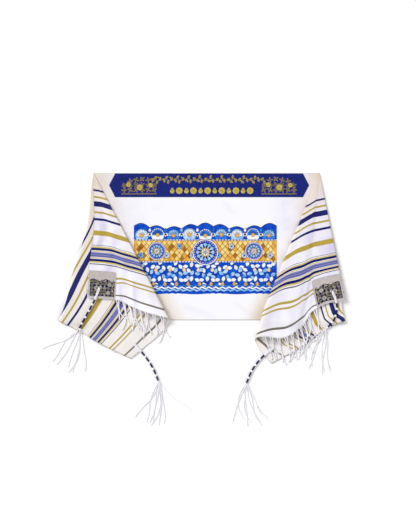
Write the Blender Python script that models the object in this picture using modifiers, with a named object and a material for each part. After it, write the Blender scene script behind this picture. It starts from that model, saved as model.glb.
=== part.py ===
"""A prayer shawl laid flat, with both ends folded over its front in two soft folds.

The cloth is one rectangle. Its back panel lies flat. At each side it turns back on itself at an
outer fold, runs inwards as a hidden layer, turns again at an inner fold and comes back as the flap
that shows the stripes. Both folds leave one corner point on the neck edge, so every section across
an end is a ring round that point: a row of the tables below for each bend in the ring.
"""

import math
from collections import namedtuple

import bmesh
import bpy
import numpy as np
from mathutils import Vector
from mathutils.bvhtree import BVHTree

# The cloth, in metres. X runs along the neck edge, +Y towards it, and the floor is z = 0.
LENGTH = 1.830
WIDTH = 0.552
NECK_Y = WIDTH / 2
WALL = 0.0010
LAYER_GAP = 0.0006
PITCH = WALL + LAYER_GAP
SEAM = 0.0003

# The folds are rolls that widen away from the corner point: radius = PITCH / 2 + spread * distance.
OUTER_SPREAD = 0.012
INNER_SPREAD = 0.016
CORNER_NOTCH = 0.010
DROP_RUN = 0.035
# The neck edge, from the left short end: the left flap, the back panel in two halves, the right flap.
LEFT_REACH, LEFT_CORNER_X, RIGHT_CORNER_X = 0.480, 0.429, 0.418
RIGHT_REACH = LENGTH - LEFT_REACH - LEFT_CORNER_X - RIGHT_CORNER_X
# How far in from the inner fold, round the corner point, the sweep of the lower layer takes hold.
SWEEP_TURN = 9.0

# The pieces sewn on: the neckband, and a patch at each corner of the cloth.
BAND_LENGTH, BAND_POINT, BAND_HEIGHT = 0.750, 0.023, 0.089
BAND_CENTRE_X, BAND_INSET, BAND_WALL = 0.004, 0.0015, 0.0010
PATCH_SIDE, PATCH_INSET, PATCH_WALL = 0.105, 0.003, 0.0010
PATCH_STEPS, PATCH_GAP = 6, 0.0006
LIFT_START, LIFT_RUN = 0.090, 0.050
EYELET_INSET = 0.046

# The fringe runs between the patches: a narrow strip along each short end, and on it a row of
# tassels that are each knotted once and then part in two.
STRIP_GAP, STRIP_WIDTH, STRIP_THICK = 0.0007, 0.003, 0.0012
TASSEL_PITCH, TASSEL_WIDTH = 0.031, 0.0036
KNOT_AT, KNOT_WIDTH, KNOT_THICK = 0.042, 0.0056, 0.0042
Strand = namedtuple("Strand", "length width thick steps")
LEG = Strand(length=0.058, width=0.0026, thick=0.0018, steps=4)
LEG_SPREAD, LEG_CURL, SWAY = 3.5, 2.0, 1.0
CURL_BEAT, SWAY_BEAT = 40, 9

# The corner tassels: a wound stem with knots, which parts in eight free strands.
STEM_WIDTH, STEM_THICK, STEM_STEP = 0.0052, 0.0050, 0.014
STEM_SMOOTHING = 5
KNOT_SWELL, KNOT_COUNT = 1.45, 5
FREE = Strand(length=0.180, width=0.0018, thick=0.0018, steps=7)
FREE_COUNT = 8
HEAD_WIDTH, HEAD_STEP = 0.0100, 0.006
FALL_RUN = 0.050
REST_GAP = 0.0004

# A row for each bend of the ring round the corner point. cloth is the angle in the flat cloth,
# from the neck edge; lay is the angle where it lies, from the way out along the neck edge; settle
# is the height that the layer loses, per metre from the corner, as it sinks onto what is below it.
Bend = namedtuple("Bend", "cloth lay settle")
# A row for each straight run of a corner tassel's stem: its length, and its heading on the floor.
Run = namedtuple("Run", "length heading")
Tassel = namedtuple("Tassel", "name corner runs fan curl")
# reach is the length of cloth beyond the corner point. Past gather_start the outer side of the flap is
# gathered in ripples, which shorten it by gather, up to the cloth angle gather_to. The lower part of
# the under layer sweeps outwards past sweep_depth, by sweep times the square of the depth beyond it,
# and its outer fold bows inwards by bow at the middle of its length.
End = namedtuple(
    "End",
    "name side corner_x reach flap under gather_start gather gather_to sweep_depth sweep bow"
    " bow_length fringe_headings tassels",
)

LEFT_END = End(
    name="left",
    side=-1,
    corner_x=LEFT_CORNER_X,
    reach=LEFT_REACH,
    flap=(
        Bend(0.0, 87.2, -0.036),
        Bend(10.0, 96.8, -0.043),
        Bend(17.0, 102.6, -0.042),
        Bend(24.5, 106.8, -0.030),
        Bend(30.0, 110.2, -0.018),
        Bend(39.0, 118.0, -0.014),
    ),
    under=(
        Bend(39.0, 118.0, -0.014),
        Bend(45.0, 112.0, -0.019),
        Bend(58.0, 97.5, -0.022),
        Bend(66.0, 89.5, -0.018),
        Bend(77.75, 77.75, 0.0),
    ),
    gather_start=0.400,
    gather=0.15,
    gather_to=24.0,
    sweep_depth=0.441,
    sweep=1.23,
    bow=0.017,
    bow_length=0.40,
    fringe_headings=(-78.0, -80.0),
    tassels=(
        Tassel(
            name="upper_left",
            corner="flap",
            runs=(Run(0.046, -111), Run(0.060, -119), Run(0.062, -119)),
            fan=(-140.0, -45.0),
            curl=-25.0,
        ),
        Tassel(
            name="lower_left",
            corner="under",
            runs=(Run(0.060, -48), Run(0.055, -55), Run(0.055, -68)),
            fan=(-110.0, -50.0),
            curl=-30.0,
        ),
    ),
)
RIGHT_END = End(
    name="right",
    side=1,
    corner_x=RIGHT_CORNER_X,
    reach=RIGHT_REACH,
    flap=(
        Bend(0.0, 78.6, -0.031),
        Bend(5.0, 83.4, -0.027),
        Bend(10.0, 88.3, -0.036),
        Bend(16.0, 93.8, -0.041),
        Bend(24.0, 97.4, -0.030),
        Bend(30.0, 100.4, -0.018),
        Bend(41.5, 113.0, -0.014),
    ),
    under=(
        Bend(41.5, 113.0, -0.014),
        Bend(47.5, 107.0, -0.019),
        Bend(58.0, 96.5, -0.022),
        Bend(66.5, 90.2, -0.018),
        Bend(73.5, 85.6, -0.012),
        Bend(80.0, 80.0, 0.0),
    ),
    gather_start=0.355,
    gather=0.13,
    gather_to=17.0,
    sweep_depth=0.505,
    sweep=0.8,
    bow=0.006,
    bow_length=0.50,
    fringe_headings=(-74.0, -78.0),
    tassels=(
        Tassel(
            name="upper_right",
            corner="flap",
            runs=(Run(0.046, -66), Run(0.034, -92), Run(0.042, -110), Run(0.034, -140)),
            fan=(-150.0, -78.0),
            curl=20.0,
        ),
        Tassel(
            name="lower_right",
            corner="under",
            runs=(Run(0.060, -140), Run(0.055, -128), Run(0.055, -112)),
            fan=(-125.0, -62.0),
            curl=28.0,
        ),
    ),
)

# The finishes: a colour, and how rough it is.
Finish = namedtuple("Finish", "colour roughness")
COTTON = Finish((0.86, 0.84, 0.88), 0.85)
NAVY_SATIN = Finish((0.010, 0.016, 0.15), 0.55)
GREY_SATIN = Finish((0.52, 0.49, 0.47), 0.50)
WHITE_YARN = Finish((0.88, 0.87, 0.88), 0.80)

COLLECTION = "prayer_shawl"

# How finely the wall is divided, round each ring and out from the corner.
FLAP_STEPS, UNDER_STEPS, ROLL_STEPS = 15, 12, 8
RING_SHARES = (0, 0.03, 0.075, 0.135, 0.21, 0.30, 0.40, 0.50, 0.60, 0.69, 0.77, 0.84, 0.90, 0.955, 1)


def smooth(x):
    """0 below 0, 1 above 1, and a smooth rise between."""
    x = np.clip(x, 0.0, 1.0)
    return x * x * (3 - 2 * x)


def through(xs, ys, x):
    """A curve through the points of a table that never overshoots between two rows."""
    xs, ys = np.asarray(xs, float), np.asarray(ys, float)
    step, slope = np.diff(xs), np.diff(ys) / np.diff(xs)
    same_way = slope[:-1] * slope[1:] > 0
    mean = 2 * slope[:-1] * slope[1:] / np.where(same_way, slope[:-1] + slope[1:], 1)
    tangent = np.concatenate([slope[:1], np.where(same_way, mean, 0), slope[-1:]])
    i = np.clip(np.searchsorted(xs, x) - 1, 0, len(step) - 1)
    t = np.clip((x - xs[i]) / step[i], 0, 1)
    return (
        ys[i] * (1 + 2 * t) * (1 - t) ** 2
        + ys[i + 1] * t**2 * (3 - 2 * t)
        + step[i] * tangent[i] * t * (1 - t) ** 2
        - step[i] * tangent[i + 1] * t**2 * (1 - t)
    )


def fold_angles(end):
    """The cloth angles of the inner fold and the outer fold, in radians."""
    return math.radians(end.flap[-1].cloth), math.radians(end.under[-1].cloth)


def roll_radius(spread, distance):
    """The radius of a fold's roll, at a distance from the corner point."""
    return PITCH / 2 + spread * distance


def column_of(rows, name):
    """One named column of a table."""
    return [getattr(row, name) for row in rows]


def lay(end, cloth_angle, distance):
    """Where a point of the cloth lies, from its angle and distance round the corner point.

    This is the middle of the wall.
    """
    cloth_angle, distance = np.broadcast_arrays(
        np.asarray(cloth_angle, float), np.asarray(distance, float)
    )
    inner, outer = fold_angles(end)
    degrees = np.degrees(cloth_angle)
    on_flap, on_back = cloth_angle < inner, cloth_angle > outer
    flap_angle, under_angle = (
        through(column_of(rows, "cloth"), column_of(rows, "lay"), degrees)
        for rows in (end.flap, end.under)
    )
    angle = np.radians(np.where(on_flap, flap_angle, under_angle))
    angle = np.where(on_back, cloth_angle, angle)
    flap_settle, under_settle = (
        through(column_of(rows, "cloth"), column_of(rows, "settle"), degrees)
        for rows in (end.flap, end.under)
    )
    settle = np.where(on_flap, flap_settle, under_settle)
    settle = np.where(on_back, 0.0, settle)

    height = np.zeros_like(angle)
    for fold, spread, turns_in in ((outer, OUTER_SPREAD, 1), (inner, INNER_SPREAD, -1)):
        radius = roll_radius(spread, distance)
        past = distance * (fold - cloth_angle)
        turned = np.clip(past / radius + math.pi / 2, 0, math.pi)
        height += radius * (1 - np.cos(turned))
        rounding = math.pi / 2 * radius - radius * np.sin(turned) - np.abs(past)
        in_roll = np.abs(past) < math.pi / 2 * radius
        angle = angle + turns_in * np.where(in_roll, rounding, 0) / distance
    height += distance * settle

    past_start = np.maximum(distance * np.cos(cloth_angle) - end.gather_start, 0)
    outer_side = np.where(on_flap, 1 - smooth(2 * degrees / end.gather_to - 1), 0)
    laid_distance = distance - outer_side * end.gather * past_start
    depth = laid_distance * np.sin(angle)
    out = laid_distance * np.cos(angle)
    flap_lay = math.radians(end.flap[-1].lay)
    from_inner = smooth((flap_lay - angle) / math.radians(SWEEP_TURN))
    from_back = smooth((math.pi / 2 - angle) / (math.pi / 2 - outer))
    follows = np.where(on_back, from_back, np.where(on_flap, 0, from_inner))
    out = out + follows * end.sweep * np.maximum(depth - end.sweep_depth, 0) ** 2
    bowed = np.sin(math.pi * np.clip(depth / end.bow_length, 0, 1)) ** 2
    near_fold = np.where(on_flap, 0, smooth((flap_lay - angle) / (flap_lay - outer)))
    near_fold = np.where(on_back, from_back, near_fold)
    out = out - near_fold * end.bow * bowed

    # Past the lower edge of the back panel the two upper layers come down to the floor.
    under_rise = 2 * OUTER_SPREAD + np.where(on_back, 0, under_settle)
    off_panel = np.where(on_back, 0, smooth((depth - WIDTH) / DROP_RUN))
    height = height - off_panel * (PITCH + distance * under_rise)
    height = height + patch_lift(end, cloth_angle, distance)
    return np.stack(
        [end.side * (end.corner_x + out), NECK_Y - depth, WALL / 2 + height], axis=-1
    )


def patch_lift(end, cloth_angle, distance):
    """The under layer rides over the patch that lies beneath its lower corner."""
    past_corner = distance * np.cos(cloth_angle)
    across = distance * np.sin(cloth_angle)
    patch_end = end.reach - PATCH_SIDE - PATCH_INSET
    patch_edge = WIDTH - PATCH_SIDE - PATCH_INSET
    near_end = smooth((past_corner - patch_end + LIFT_START) / LIFT_RUN)
    near_edge = smooth((across - patch_edge + LIFT_START) / LIFT_RUN)
    return near_end * near_edge * (PATCH_WALL + PATCH_GAP)


def from_cloth(end, past_corner, across):
    """lay() for a point given by its length past the corner and its distance from the neck edge."""
    return lay(end, np.arctan2(across, past_corner), np.hypot(past_corner, across))


def face_normal(end, past_corner, across):
    """The cloth's right side at a point: up on the flap and the back panel, down on the under layer."""
    small = 1e-4
    along = from_cloth(end, past_corner + small, across) - from_cloth(end, past_corner - small, across)
    over = from_cloth(end, past_corner, across + small) - from_cloth(end, past_corner, across - small)
    normal = end.side * np.cross(over, along)
    return normal / np.linalg.norm(normal, axis=-1, keepdims=True)


def ring_columns(end):
    """The wall's columns, from the neck edge of the flap to the line below the corner point.

    Each is a pair: the stretch it belongs to, and its share of that stretch. A column on a roll
    keeps its place on the roll all the way out, and one column ends on the cloth's lower corner.
    """
    inner, outer = fold_angles(end)
    reach = end.reach
    corner = math.atan2(WIDTH, reach)
    far = math.hypot(WIDTH, reach)
    start = inner + math.pi / 2 * roll_radius(INNER_SPREAD, far) / far
    stop = outer - math.pi / 2 * roll_radius(OUTER_SPREAD, far) / far
    corner_share = (corner - start) / (stop - start)
    shares = list(np.linspace(0, 1, UNDER_STEPS + 1))
    shares[int(np.argmin([abs(s - corner_share) for s in shares]))] = corner_share
    columns = [("flap", s) for s in np.linspace(0, 1, FLAP_STEPS + 1)]
    columns += [("inner roll", s) for s in np.linspace(0, 1, ROLL_STEPS + 1)[1:-1]]
    columns += [("under", s) for s in shares]
    columns += [("outer roll", s) for s in np.linspace(0, 1, ROLL_STEPS + 1)[1:-1]]
    columns += [("back", s) for s in (0.0, 0.4, 1.0)]
    return columns


def column_angle(end, column, distance):
    """The cloth angle of a column at a distance from the corner point."""
    stretch, share = column
    inner, outer = fold_angles(end)
    inner_half = math.pi / 2 * roll_radius(INNER_SPREAD, distance) / distance
    outer_half = math.pi / 2 * roll_radius(OUTER_SPREAD, distance) / distance
    bounds = {
        "flap": (0, inner - inner_half),
        "inner roll": (inner - inner_half, inner + inner_half),
        "under": (inner + inner_half, outer - outer_half),
        "outer roll": (outer - outer_half, outer + outer_half),
        "back": (outer + outer_half, math.pi / 2),
    }
    low, high = bounds[stretch]
    return low + share * (high - low)


def edge_distance(end, cloth_angle):
    """How far the cloth reaches from the corner point at an angle, to its short end or lower edge."""
    to_end = end.reach / max(math.cos(cloth_angle), 1e-9)
    to_edge = WIDTH / max(math.sin(cloth_angle), 1e-9)
    return min(to_end, to_edge)


def column_reach(end, column):
    """The distance at which a column meets the edge of the cloth."""
    distance = WIDTH
    for _ in range(30):
        distance = edge_distance(end, column_angle(end, column, distance))
    return distance


def end_grid(end):
    """The points of one folded end, as rows out from the corner and columns round it."""
    columns = ring_columns(end)
    grid = []
    for column in columns:
        far = column_reach(end, column)
        distances = [CORNER_NOTCH + (far - CORNER_NOTCH) * share for share in RING_SHARES]
        angles = [column_angle(end, column, d) for d in distances]
        grid.append(lay(end, np.array(angles), np.array(distances)))
    return np.array(grid).transpose(1, 0, 2)


def notch_arc(end, steps=4):
    """The small round notch at the corner point, on the back panel, from below it to the neck edge."""
    angles = np.linspace(math.pi / 2, math.pi, steps + 1)[1:]
    return lay(end, angles, CORNER_NOTCH)


def mesh_object(name, vertices, faces):
    """A new object in the part's collection, from points and faces."""
    mesh = bpy.data.meshes.new(name)
    mesh.from_pydata([tuple(v) for v in vertices], [], faces)
    obj = bpy.data.objects.new(name, mesh)
    bpy.data.collections[COLLECTION].objects.link(obj)
    return obj


def grid_faces(rows, columns, start=0):
    """The quads of a grid whose points are stored row by row."""
    return [
        (
            start + r * columns + c,
            start + r * columns + c + 1,
            start + (r + 1) * columns + c + 1,
            start + (r + 1) * columns + c,
        )
        for r in range(rows - 1)
        for c in range(columns - 1)
    ]


def make_shawl():
    """The whole cloth: two folded ends joined by the flat back panel, thickened to a wall."""
    vertices, faces, sides, arcs = [], [], [], []
    for end in (LEFT_END, RIGHT_END):
        grid = end_grid(end)
        rows, columns = grid.shape[:2]
        start = len(vertices)
        vertices += list(grid.reshape(-1, 3))
        faces += grid_faces(rows, columns, start)
        sides.append([start + r * columns + columns - 1 for r in range(rows)])
        arc = notch_arc(end)
        arcs.append(list(range(len(vertices), len(vertices) + len(arc))))
        vertices += list(arc)
    left, right = sides
    panel = arcs[0][::-1] + left + right[::-1] + arcs[1]
    faces.append(tuple(panel))
    shawl = mesh_object("shawl_cloth", vertices, faces)
    face_up(shawl)
    thicken(shawl, WALL)
    paint(shawl, COTTON)
    return shawl


def face_up(obj):
    """Makes all faces of an open sheet agree, with the largest one facing up."""
    work = bmesh.new()
    work.from_mesh(obj.data)
    bmesh.ops.recalc_face_normals(work, faces=work.faces)
    largest = max(work.faces, key=lambda face: face.calc_area())
    if largest.normal.z < 0:
        bmesh.ops.reverse_faces(work, faces=work.faces)
    work.to_mesh(obj.data)
    work.free()


def face_outwards(obj):
    """Turns the faces of a closed body out."""
    work = bmesh.new()
    work.from_mesh(obj.data)
    bmesh.ops.recalc_face_normals(work, faces=work.faces)
    work.to_mesh(obj.data)
    work.free()


def thicken(obj, wall):
    """Gives an open sheet its wall, half of it on each side."""
    solidify = obj.modifiers.new("Wall", "SOLIDIFY")
    solidify.thickness = wall
    solidify.offset = 0
    solidify.use_quality_normals = True


def make_band():
    """The neckband: a long hexagon, flat on the back panel along the neck edge."""
    half, shoulder = BAND_LENGTH / 2, BAND_LENGTH / 2 - BAND_POINT
    top = NECK_Y - BAND_INSET
    middle, bottom = top - BAND_HEIGHT / 2, top - BAND_HEIGHT
    outline = (
        (-half, middle),
        (-shoulder, bottom),
        (shoulder, bottom),
        (half, middle),
        (shoulder, top),
        (-shoulder, top),
    )
    height = WALL + SEAM + BAND_WALL / 2
    points = [(BAND_CENTRE_X + x, y, height) for x, y in outline]
    band = mesh_object("atarah", points, [tuple(range(len(points)))])
    thicken(band, BAND_WALL)
    paint(band, NAVY_SATIN)


def corner_start(corner):
    """How far from the neck edge the patch of a corner starts, on the flap or on the under layer."""
    return PATCH_INSET if corner == "flap" else WIDTH - PATCH_INSET - PATCH_SIDE


def make_patch(end, tassel):
    """A corner patch, made from the cloth's own points, moved out on its right side.

    The under layer lies right side down, so its patch rests flat on the floor.
    """
    steps = np.linspace(0, PATCH_SIDE, PATCH_STEPS + 1)
    past, across = np.meshgrid(
        end.reach - PATCH_INSET - PATCH_SIDE + steps, corner_start(tassel.corner) + steps
    )
    points = from_cloth(end, past, across)
    if tassel.corner == "flap":
        points += (WALL / 2 + PATCH_GAP + PATCH_WALL / 2) * face_normal(end, past, across)
    else:
        points[..., 2] = PATCH_WALL / 2
    patch = mesh_object(
        f"corner_patch_{tassel.name}",
        points.reshape(-1, 3),
        grid_faces(PATCH_STEPS + 1, PATCH_STEPS + 1),
    )
    thicken(patch, PATCH_WALL)
    paint(patch, GREY_SATIN)
    return patch


class Ground:
    """The surface that the strands come to rest on, seen from above."""

    def __init__(self, objects):
        self.trees = []
        for obj in objects:
            self.add(obj)

    def add(self, obj):
        """Takes in a piece that later ones lie on."""
        bpy.context.view_layer.update()
        graph = bpy.context.evaluated_depsgraph_get()
        self.trees.append(BVHTree.FromObject(obj, graph))

    def height(self, x, y):
        """The highest surface under a point, or the floor."""
        start, down = Vector((x, y, 1.0)), Vector((0, 0, -1))
        hits = [tree.ray_cast(start, down)[0] for tree in self.trees]
        return max([0.0] + [hit.z for hit in hits if hit])

    def under(self, x, y, reach):
        """The highest surface under a disc round a point."""
        spots = [(x, y)]
        for radius in (reach / 3, reach * 2 / 3, reach):
            for turn in np.linspace(0, 2 * math.pi, 9)[:-1]:
                spots.append((x + radius * math.cos(turn), y + radius * math.sin(turn)))
        return max(self.height(*spot) for spot in spots)


class Skin:
    """A body built section by section. A section is a row of cells: their upper and lower points."""

    def __init__(self):
        self.points, self.faces = [], []

    def section(self, upper, lower):
        """Takes in the points of a section, and returns it as two lists of their numbers."""
        start, count = len(self.points), len(upper)
        self.points += list(upper) + list(lower)
        return list(range(start, start + count)), list(range(start + count, start + 2 * count))

    def join(self, near, far):
        """The walls round two sections of as many cells."""
        (near_up, near_low), (far_up, far_low) = near, far
        for i in range(len(near_up) - 1):
            self.faces.append((near_up[i], near_up[i + 1], far_up[i + 1], far_up[i]))
            self.faces.append((near_low[i + 1], near_low[i], far_low[i], far_low[i + 1]))
        self.faces.append((near_low[0], near_up[0], far_up[0], far_low[0]))
        self.faces.append((near_up[-1], near_low[-1], far_low[-1], far_up[-1]))

    def close(self, section):
        """One face on each cell of a section."""
        for cell in self.cells(section):
            (left_up, right_up), (left_low, right_low) = cell
            self.faces.append((left_up, right_up, right_low, left_low))

    @staticmethod
    def cells(section):
        """The cells of a section, each as its upper pair and its lower pair of points."""
        upper, lower = section
        return [
            ((upper[i], upper[i + 1]), (lower[i], lower[i + 1])) for i in range(len(upper) - 1)
        ]

    def run(self, start, sections):
        """Carries a section along a path of sections, and returns the last."""
        for upper, lower in sections:
            following = self.section(upper, lower)
            self.join(start, following)
            start = following
        return start


def flat_section(centre, heading, width, thick, cells):
    """A row of cells across a strand, level and square to its heading."""
    across = np.array([math.sin(heading), -math.cos(heading), 0.0])
    shares = np.linspace(-0.5, 0.5, cells + 1)[:, None]
    middle = np.asarray(centre) + shares * width * across
    lift = np.array([0, 0, thick / 2])
    return middle + lift, middle - lift


def oval_section(centre, heading, width, thick, cells):
    """The same row of cells, with its points on an oval."""
    across = np.array([math.sin(heading), -math.cos(heading), 0.0])
    turns = math.pi * (1 - (np.arange(cells + 1) + 0.5) / (cells + 1))[:, None]
    middle = np.asarray(centre) + np.cos(turns) * width / 2 * across
    lift = np.sin(turns) * np.array([0, 0, thick / 2])
    return middle + lift, middle - lift


def walk(start, headings, lengths):
    """The floor points of a path, from the heading and length of each step."""
    steps = np.array([[math.cos(h), math.sin(h)] for h in headings]) * np.array(lengths)[:, None]
    return np.asarray(start)[:2] + np.cumsum(steps, axis=0)


def settle_on(ground, floor_points, start_height, thick, run):
    """The heights along a path: it leaves its root level and falls onto what lies below."""
    rest = np.array([ground.under(x, y, run) + REST_GAP + thick / 2 for x, y in floor_points])
    travelled = run * np.arange(1, len(floor_points) + 1)
    left_over = 1 - smooth(travelled / FALL_RUN)
    return rest + np.maximum(start_height - rest, 0) * left_over


def add_legs(skin, ground, root, height, headings, shape, curl, order=1):
    """Parts a section into strands, one from each cell, that fan out and come to rest."""
    run = shape.length / shape.steps
    for cell, heading in zip(skin.cells(root), headings):
        first = np.mean([skin.points[i] for pair in cell for i in pair], axis=0)
        turning = heading + np.radians(curl) * np.linspace(0, 1, shape.steps)
        floor = walk(first, turning, [run] * shape.steps)
        heights = settle_on(ground, floor, height, shape.thick, run)
        sections = [
            flat_section((x, y, z), h, order * shape.width, shape.thick, 1)
            for (x, y), z, h in zip(floor, heights, turning)
        ]
        skin.close(skin.run(cell, sections))


def make_fringe(end, ground):
    """The fringe of one short end: a strip just off the hem of the flap, with tassels hanging from it.

    It runs from the upper corner's patch to where the hem turns in at the inner fold.
    """
    reach = end.reach
    inner, _ = fold_angles(end)
    far = math.hypot(reach, reach * math.tan(inner))
    roll = math.pi / 2 * roll_radius(INNER_SPREAD, far) / far
    low, high = PATCH_INSET + PATCH_SIDE, reach * math.tan(inner - roll)
    count = int((high - low) / TASSEL_PITCH)
    middles = low + (np.arange(count) + 0.5) * (high - low) / count
    edges, roots = [low], []
    for middle in middles:
        roots.append(len(edges))
        edges += [middle - TASSEL_WIDTH / 2, middle, middle + TASSEL_WIDTH / 2]
    edges = np.array(edges + [high])

    skin = Skin()
    rows = []
    for past in reach + STRIP_GAP + np.array([0, STRIP_WIDTH]):
        middle = from_cloth(end, np.full_like(edges, past), edges)
        lift = np.array([0, 0, STRIP_THICK / 2])
        rows.append(skin.section(middle + lift, middle - lift))
    inner_row, outer_row = rows
    skin.join(inner_row, outer_row)
    skin.close(inner_row)
    (upper, lower), first, last = outer_row, 0, len(edges) - 1
    for root in roots + [last]:
        skin.close((upper[first : root + 1], lower[first : root + 1]))
        first = root + 2
    shares = (middles - low) / (high - low)
    for share, root in zip(shares, roots):
        cell = (upper[root : root + 3], lower[root : root + 3])
        add_tassel(skin, ground, end, cell, share)
    fringe = mesh_object(f"fringe_{end.name}", skin.points, skin.faces)
    face_outwards(fringe)
    paint(fringe, WHITE_YARN)
    return fringe


def add_tassel(skin, ground, end, cell, share):
    """A tassel of the fringe: its neck, its knot and its two legs."""
    centre = np.mean([skin.points[i] for row in cell for i in row], axis=0)
    along = skin.points[cell[0][2]] - skin.points[cell[0][0]]
    first, last = end.fringe_headings
    heading = math.radians(first + (last - first) * share + SWAY * math.sin(SWAY_BEAT * share))
    right_of_heading = np.array([math.sin(heading), -math.cos(heading), 0.0])
    order = 1 if np.dot(right_of_heading, along) > 0 else -1
    stations = (
        (KNOT_AT * 0.5, TASSEL_WIDTH, LEG.thick),
        (KNOT_AT - KNOT_WIDTH / 2, TASSEL_WIDTH, LEG.thick),
        (KNOT_AT, KNOT_WIDTH, KNOT_THICK),
        (KNOT_AT + KNOT_WIDTH / 2, 2 * LEG.width, LEG.thick),
    )
    distances = np.array([station[0] for station in stations])
    floor = centre[:2] + distances[:, None] * np.array([math.cos(heading), math.sin(heading)])
    heights = settle_on(ground, floor, centre[2], KNOT_THICK, KNOT_AT / 3)
    sections = [
        flat_section((x, y, z), heading, order * width, thick, 2)
        for (x, y), z, (_, width, thick) in zip(floor, heights, stations)
    ]
    root = skin.run(cell, sections)
    spread = order * math.radians(LEG_SPREAD) * np.array([1, -1])
    curl = LEG_CURL * math.sin(CURL_BEAT * share)
    add_legs(skin, ground, root, heights[-1], heading + spread, LEG, curl, order)


def make_corner_tassel(end, tassel, ground):
    """A corner tassel: it leaves its eyelet in the patch and lies where its runs lead it."""
    past = end.reach - EYELET_INSET
    across = EYELET_INSET if tassel.corner == "flap" else WIDTH - EYELET_INSET
    start = from_cloth(end, past, across)
    headings, lengths = [], []
    for run in tassel.runs:
        steps = max(2, round(run.length / STEM_STEP))
        headings += [math.radians(run.heading)] * steps
        lengths += [run.length / steps] * steps
    padded = np.pad(headings, STEM_SMOOTHING // 2, mode="edge")
    headings = np.convolve(padded, np.ones(STEM_SMOOTHING) / STEM_SMOOTHING, mode="valid")
    floor = walk(start, headings, lengths)
    knots = [round(k) for k in np.linspace(2, len(floor) - 2, KNOT_COUNT)]
    skin = Skin()
    sections, heights = [], []
    for i, ((x, y), heading) in enumerate(zip(floor, headings)):
        swell = KNOT_SWELL if i in knots else 1.0
        thick = swell * STEM_THICK
        heights.append(ground.under(x, y, lengths[0]) + REST_GAP + thick / 2)
        centre = (x, y, heights[-1])
        sections.append(oval_section(centre, heading, swell * STEM_WIDTH, thick, FREE_COUNT))
    first = skin.section(*sections[0])
    skin.close(first)
    neck = skin.run(first, sections[1:])
    end_point = walk(floor[-1], [headings[-1]], [HEAD_STEP])[0]
    head_centre = (*end_point, heights[-1])
    head = flat_section(head_centre, headings[-1], HEAD_WIDTH, FREE.thick, FREE_COUNT)
    root = skin.run(neck, [head])
    fan = np.radians(np.linspace(tassel.fan[1], tassel.fan[0], FREE_COUNT))
    add_legs(skin, ground, root, heights[-1], fan, FREE, tassel.curl)
    obj = mesh_object(f"corner_tassel_{tassel.name}", skin.points, skin.faces)
    face_outwards(obj)
    paint(obj, WHITE_YARN)
    return obj


def paint(obj, finish):
    """Gives an object its own material."""
    material = bpy.data.materials.new(f"{obj.name}_finish")
    material.use_nodes = True
    shader = material.node_tree.nodes["Principled BSDF"]
    shader.inputs["Base Color"].default_value = (*finish.colour, 1.0)
    shader.inputs["Roughness"].default_value = finish.roughness
    shader.inputs["Metallic"].default_value = 0.0
    material.diffuse_color = (*finish.colour, 1.0)
    obj.data.materials.append(material)


def box_centre(objects):
    """The middle of the whole part, seen from above."""
    graph = bpy.context.evaluated_depsgraph_get()
    points = []
    for obj in objects:
        mesh = obj.evaluated_get(graph).to_mesh()
        points += [tuple(vertex.co) for vertex in mesh.vertices]
        obj.evaluated_get(graph).to_mesh_clear()
    low, high = np.min(points, axis=0), np.max(points, axis=0)
    return (low + high) / 2


def main():
    for obj in list(bpy.data.objects):
        bpy.data.objects.remove(obj)
    parts = bpy.data.collections.new(COLLECTION)
    bpy.context.scene.collection.children.link(parts)
    cloth = [make_shawl()]
    make_band()
    ends = (LEFT_END, RIGHT_END)
    cloth += [make_patch(end, tassel) for end in ends for tassel in end.tassels]
    ground = Ground(cloth)
    for end in ends:
        ground.add(make_fringe(end, ground))
        for tassel in reversed(end.tassels):
            ground.add(make_corner_tassel(end, tassel, ground))
    bpy.context.view_layer.update()
    centre = box_centre(parts.objects)
    for obj in parts.objects:
        obj.location = (-centre[0], -centre[1], 0)


main()
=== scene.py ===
"""The looks of a striped prayer shawl that lies with both ends folded over its front.

The cloth, its neckband, corner patches, printed panel, fringe and corner tassels are built over the
construction solids and stand for them. The folds follow the same rule as the solids: each end of the
cloth is a ring round the corner point on the neck edge.
"""

import logging
import math
from collections.abc import Callable
from dataclasses import dataclass, field
from enum import Enum, IntEnum

import bmesh
import bpy
import numpy as np
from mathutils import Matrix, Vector
from mathutils.bvhtree import BVHTree
from numpy.typing import ArrayLike


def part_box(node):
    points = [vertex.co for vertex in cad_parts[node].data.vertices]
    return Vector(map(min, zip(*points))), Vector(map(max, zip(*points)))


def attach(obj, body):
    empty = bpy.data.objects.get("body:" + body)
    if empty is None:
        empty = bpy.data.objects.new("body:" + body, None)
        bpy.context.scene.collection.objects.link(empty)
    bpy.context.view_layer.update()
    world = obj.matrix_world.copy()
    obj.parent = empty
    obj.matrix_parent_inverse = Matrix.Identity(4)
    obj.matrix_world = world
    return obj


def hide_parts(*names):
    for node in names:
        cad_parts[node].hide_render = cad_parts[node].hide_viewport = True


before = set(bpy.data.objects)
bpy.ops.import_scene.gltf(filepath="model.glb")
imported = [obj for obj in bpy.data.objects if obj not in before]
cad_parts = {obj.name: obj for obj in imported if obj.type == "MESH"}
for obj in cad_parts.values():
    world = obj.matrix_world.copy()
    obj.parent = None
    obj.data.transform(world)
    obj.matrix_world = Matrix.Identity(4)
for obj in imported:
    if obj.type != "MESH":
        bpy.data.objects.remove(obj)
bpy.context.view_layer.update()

LOG = logging.getLogger("prayer_shawl")
MM = 0.001
TURN = 2 * math.pi
UP = np.array([0.0, 0.0, 1.0])
Material, Piece, Rng = bpy.types.Material, bpy.types.Object, np.random.Generator
Inks = tuple[int, int]


def smooth(x: np.ndarray) -> np.ndarray:
    """0 below 0, 1 above 1, and the cubic 3x^2 - 2x^3 between."""
    x = np.clip(x, 0.0, 1.0)
    return x * x * (3 - 2 * x)


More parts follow.
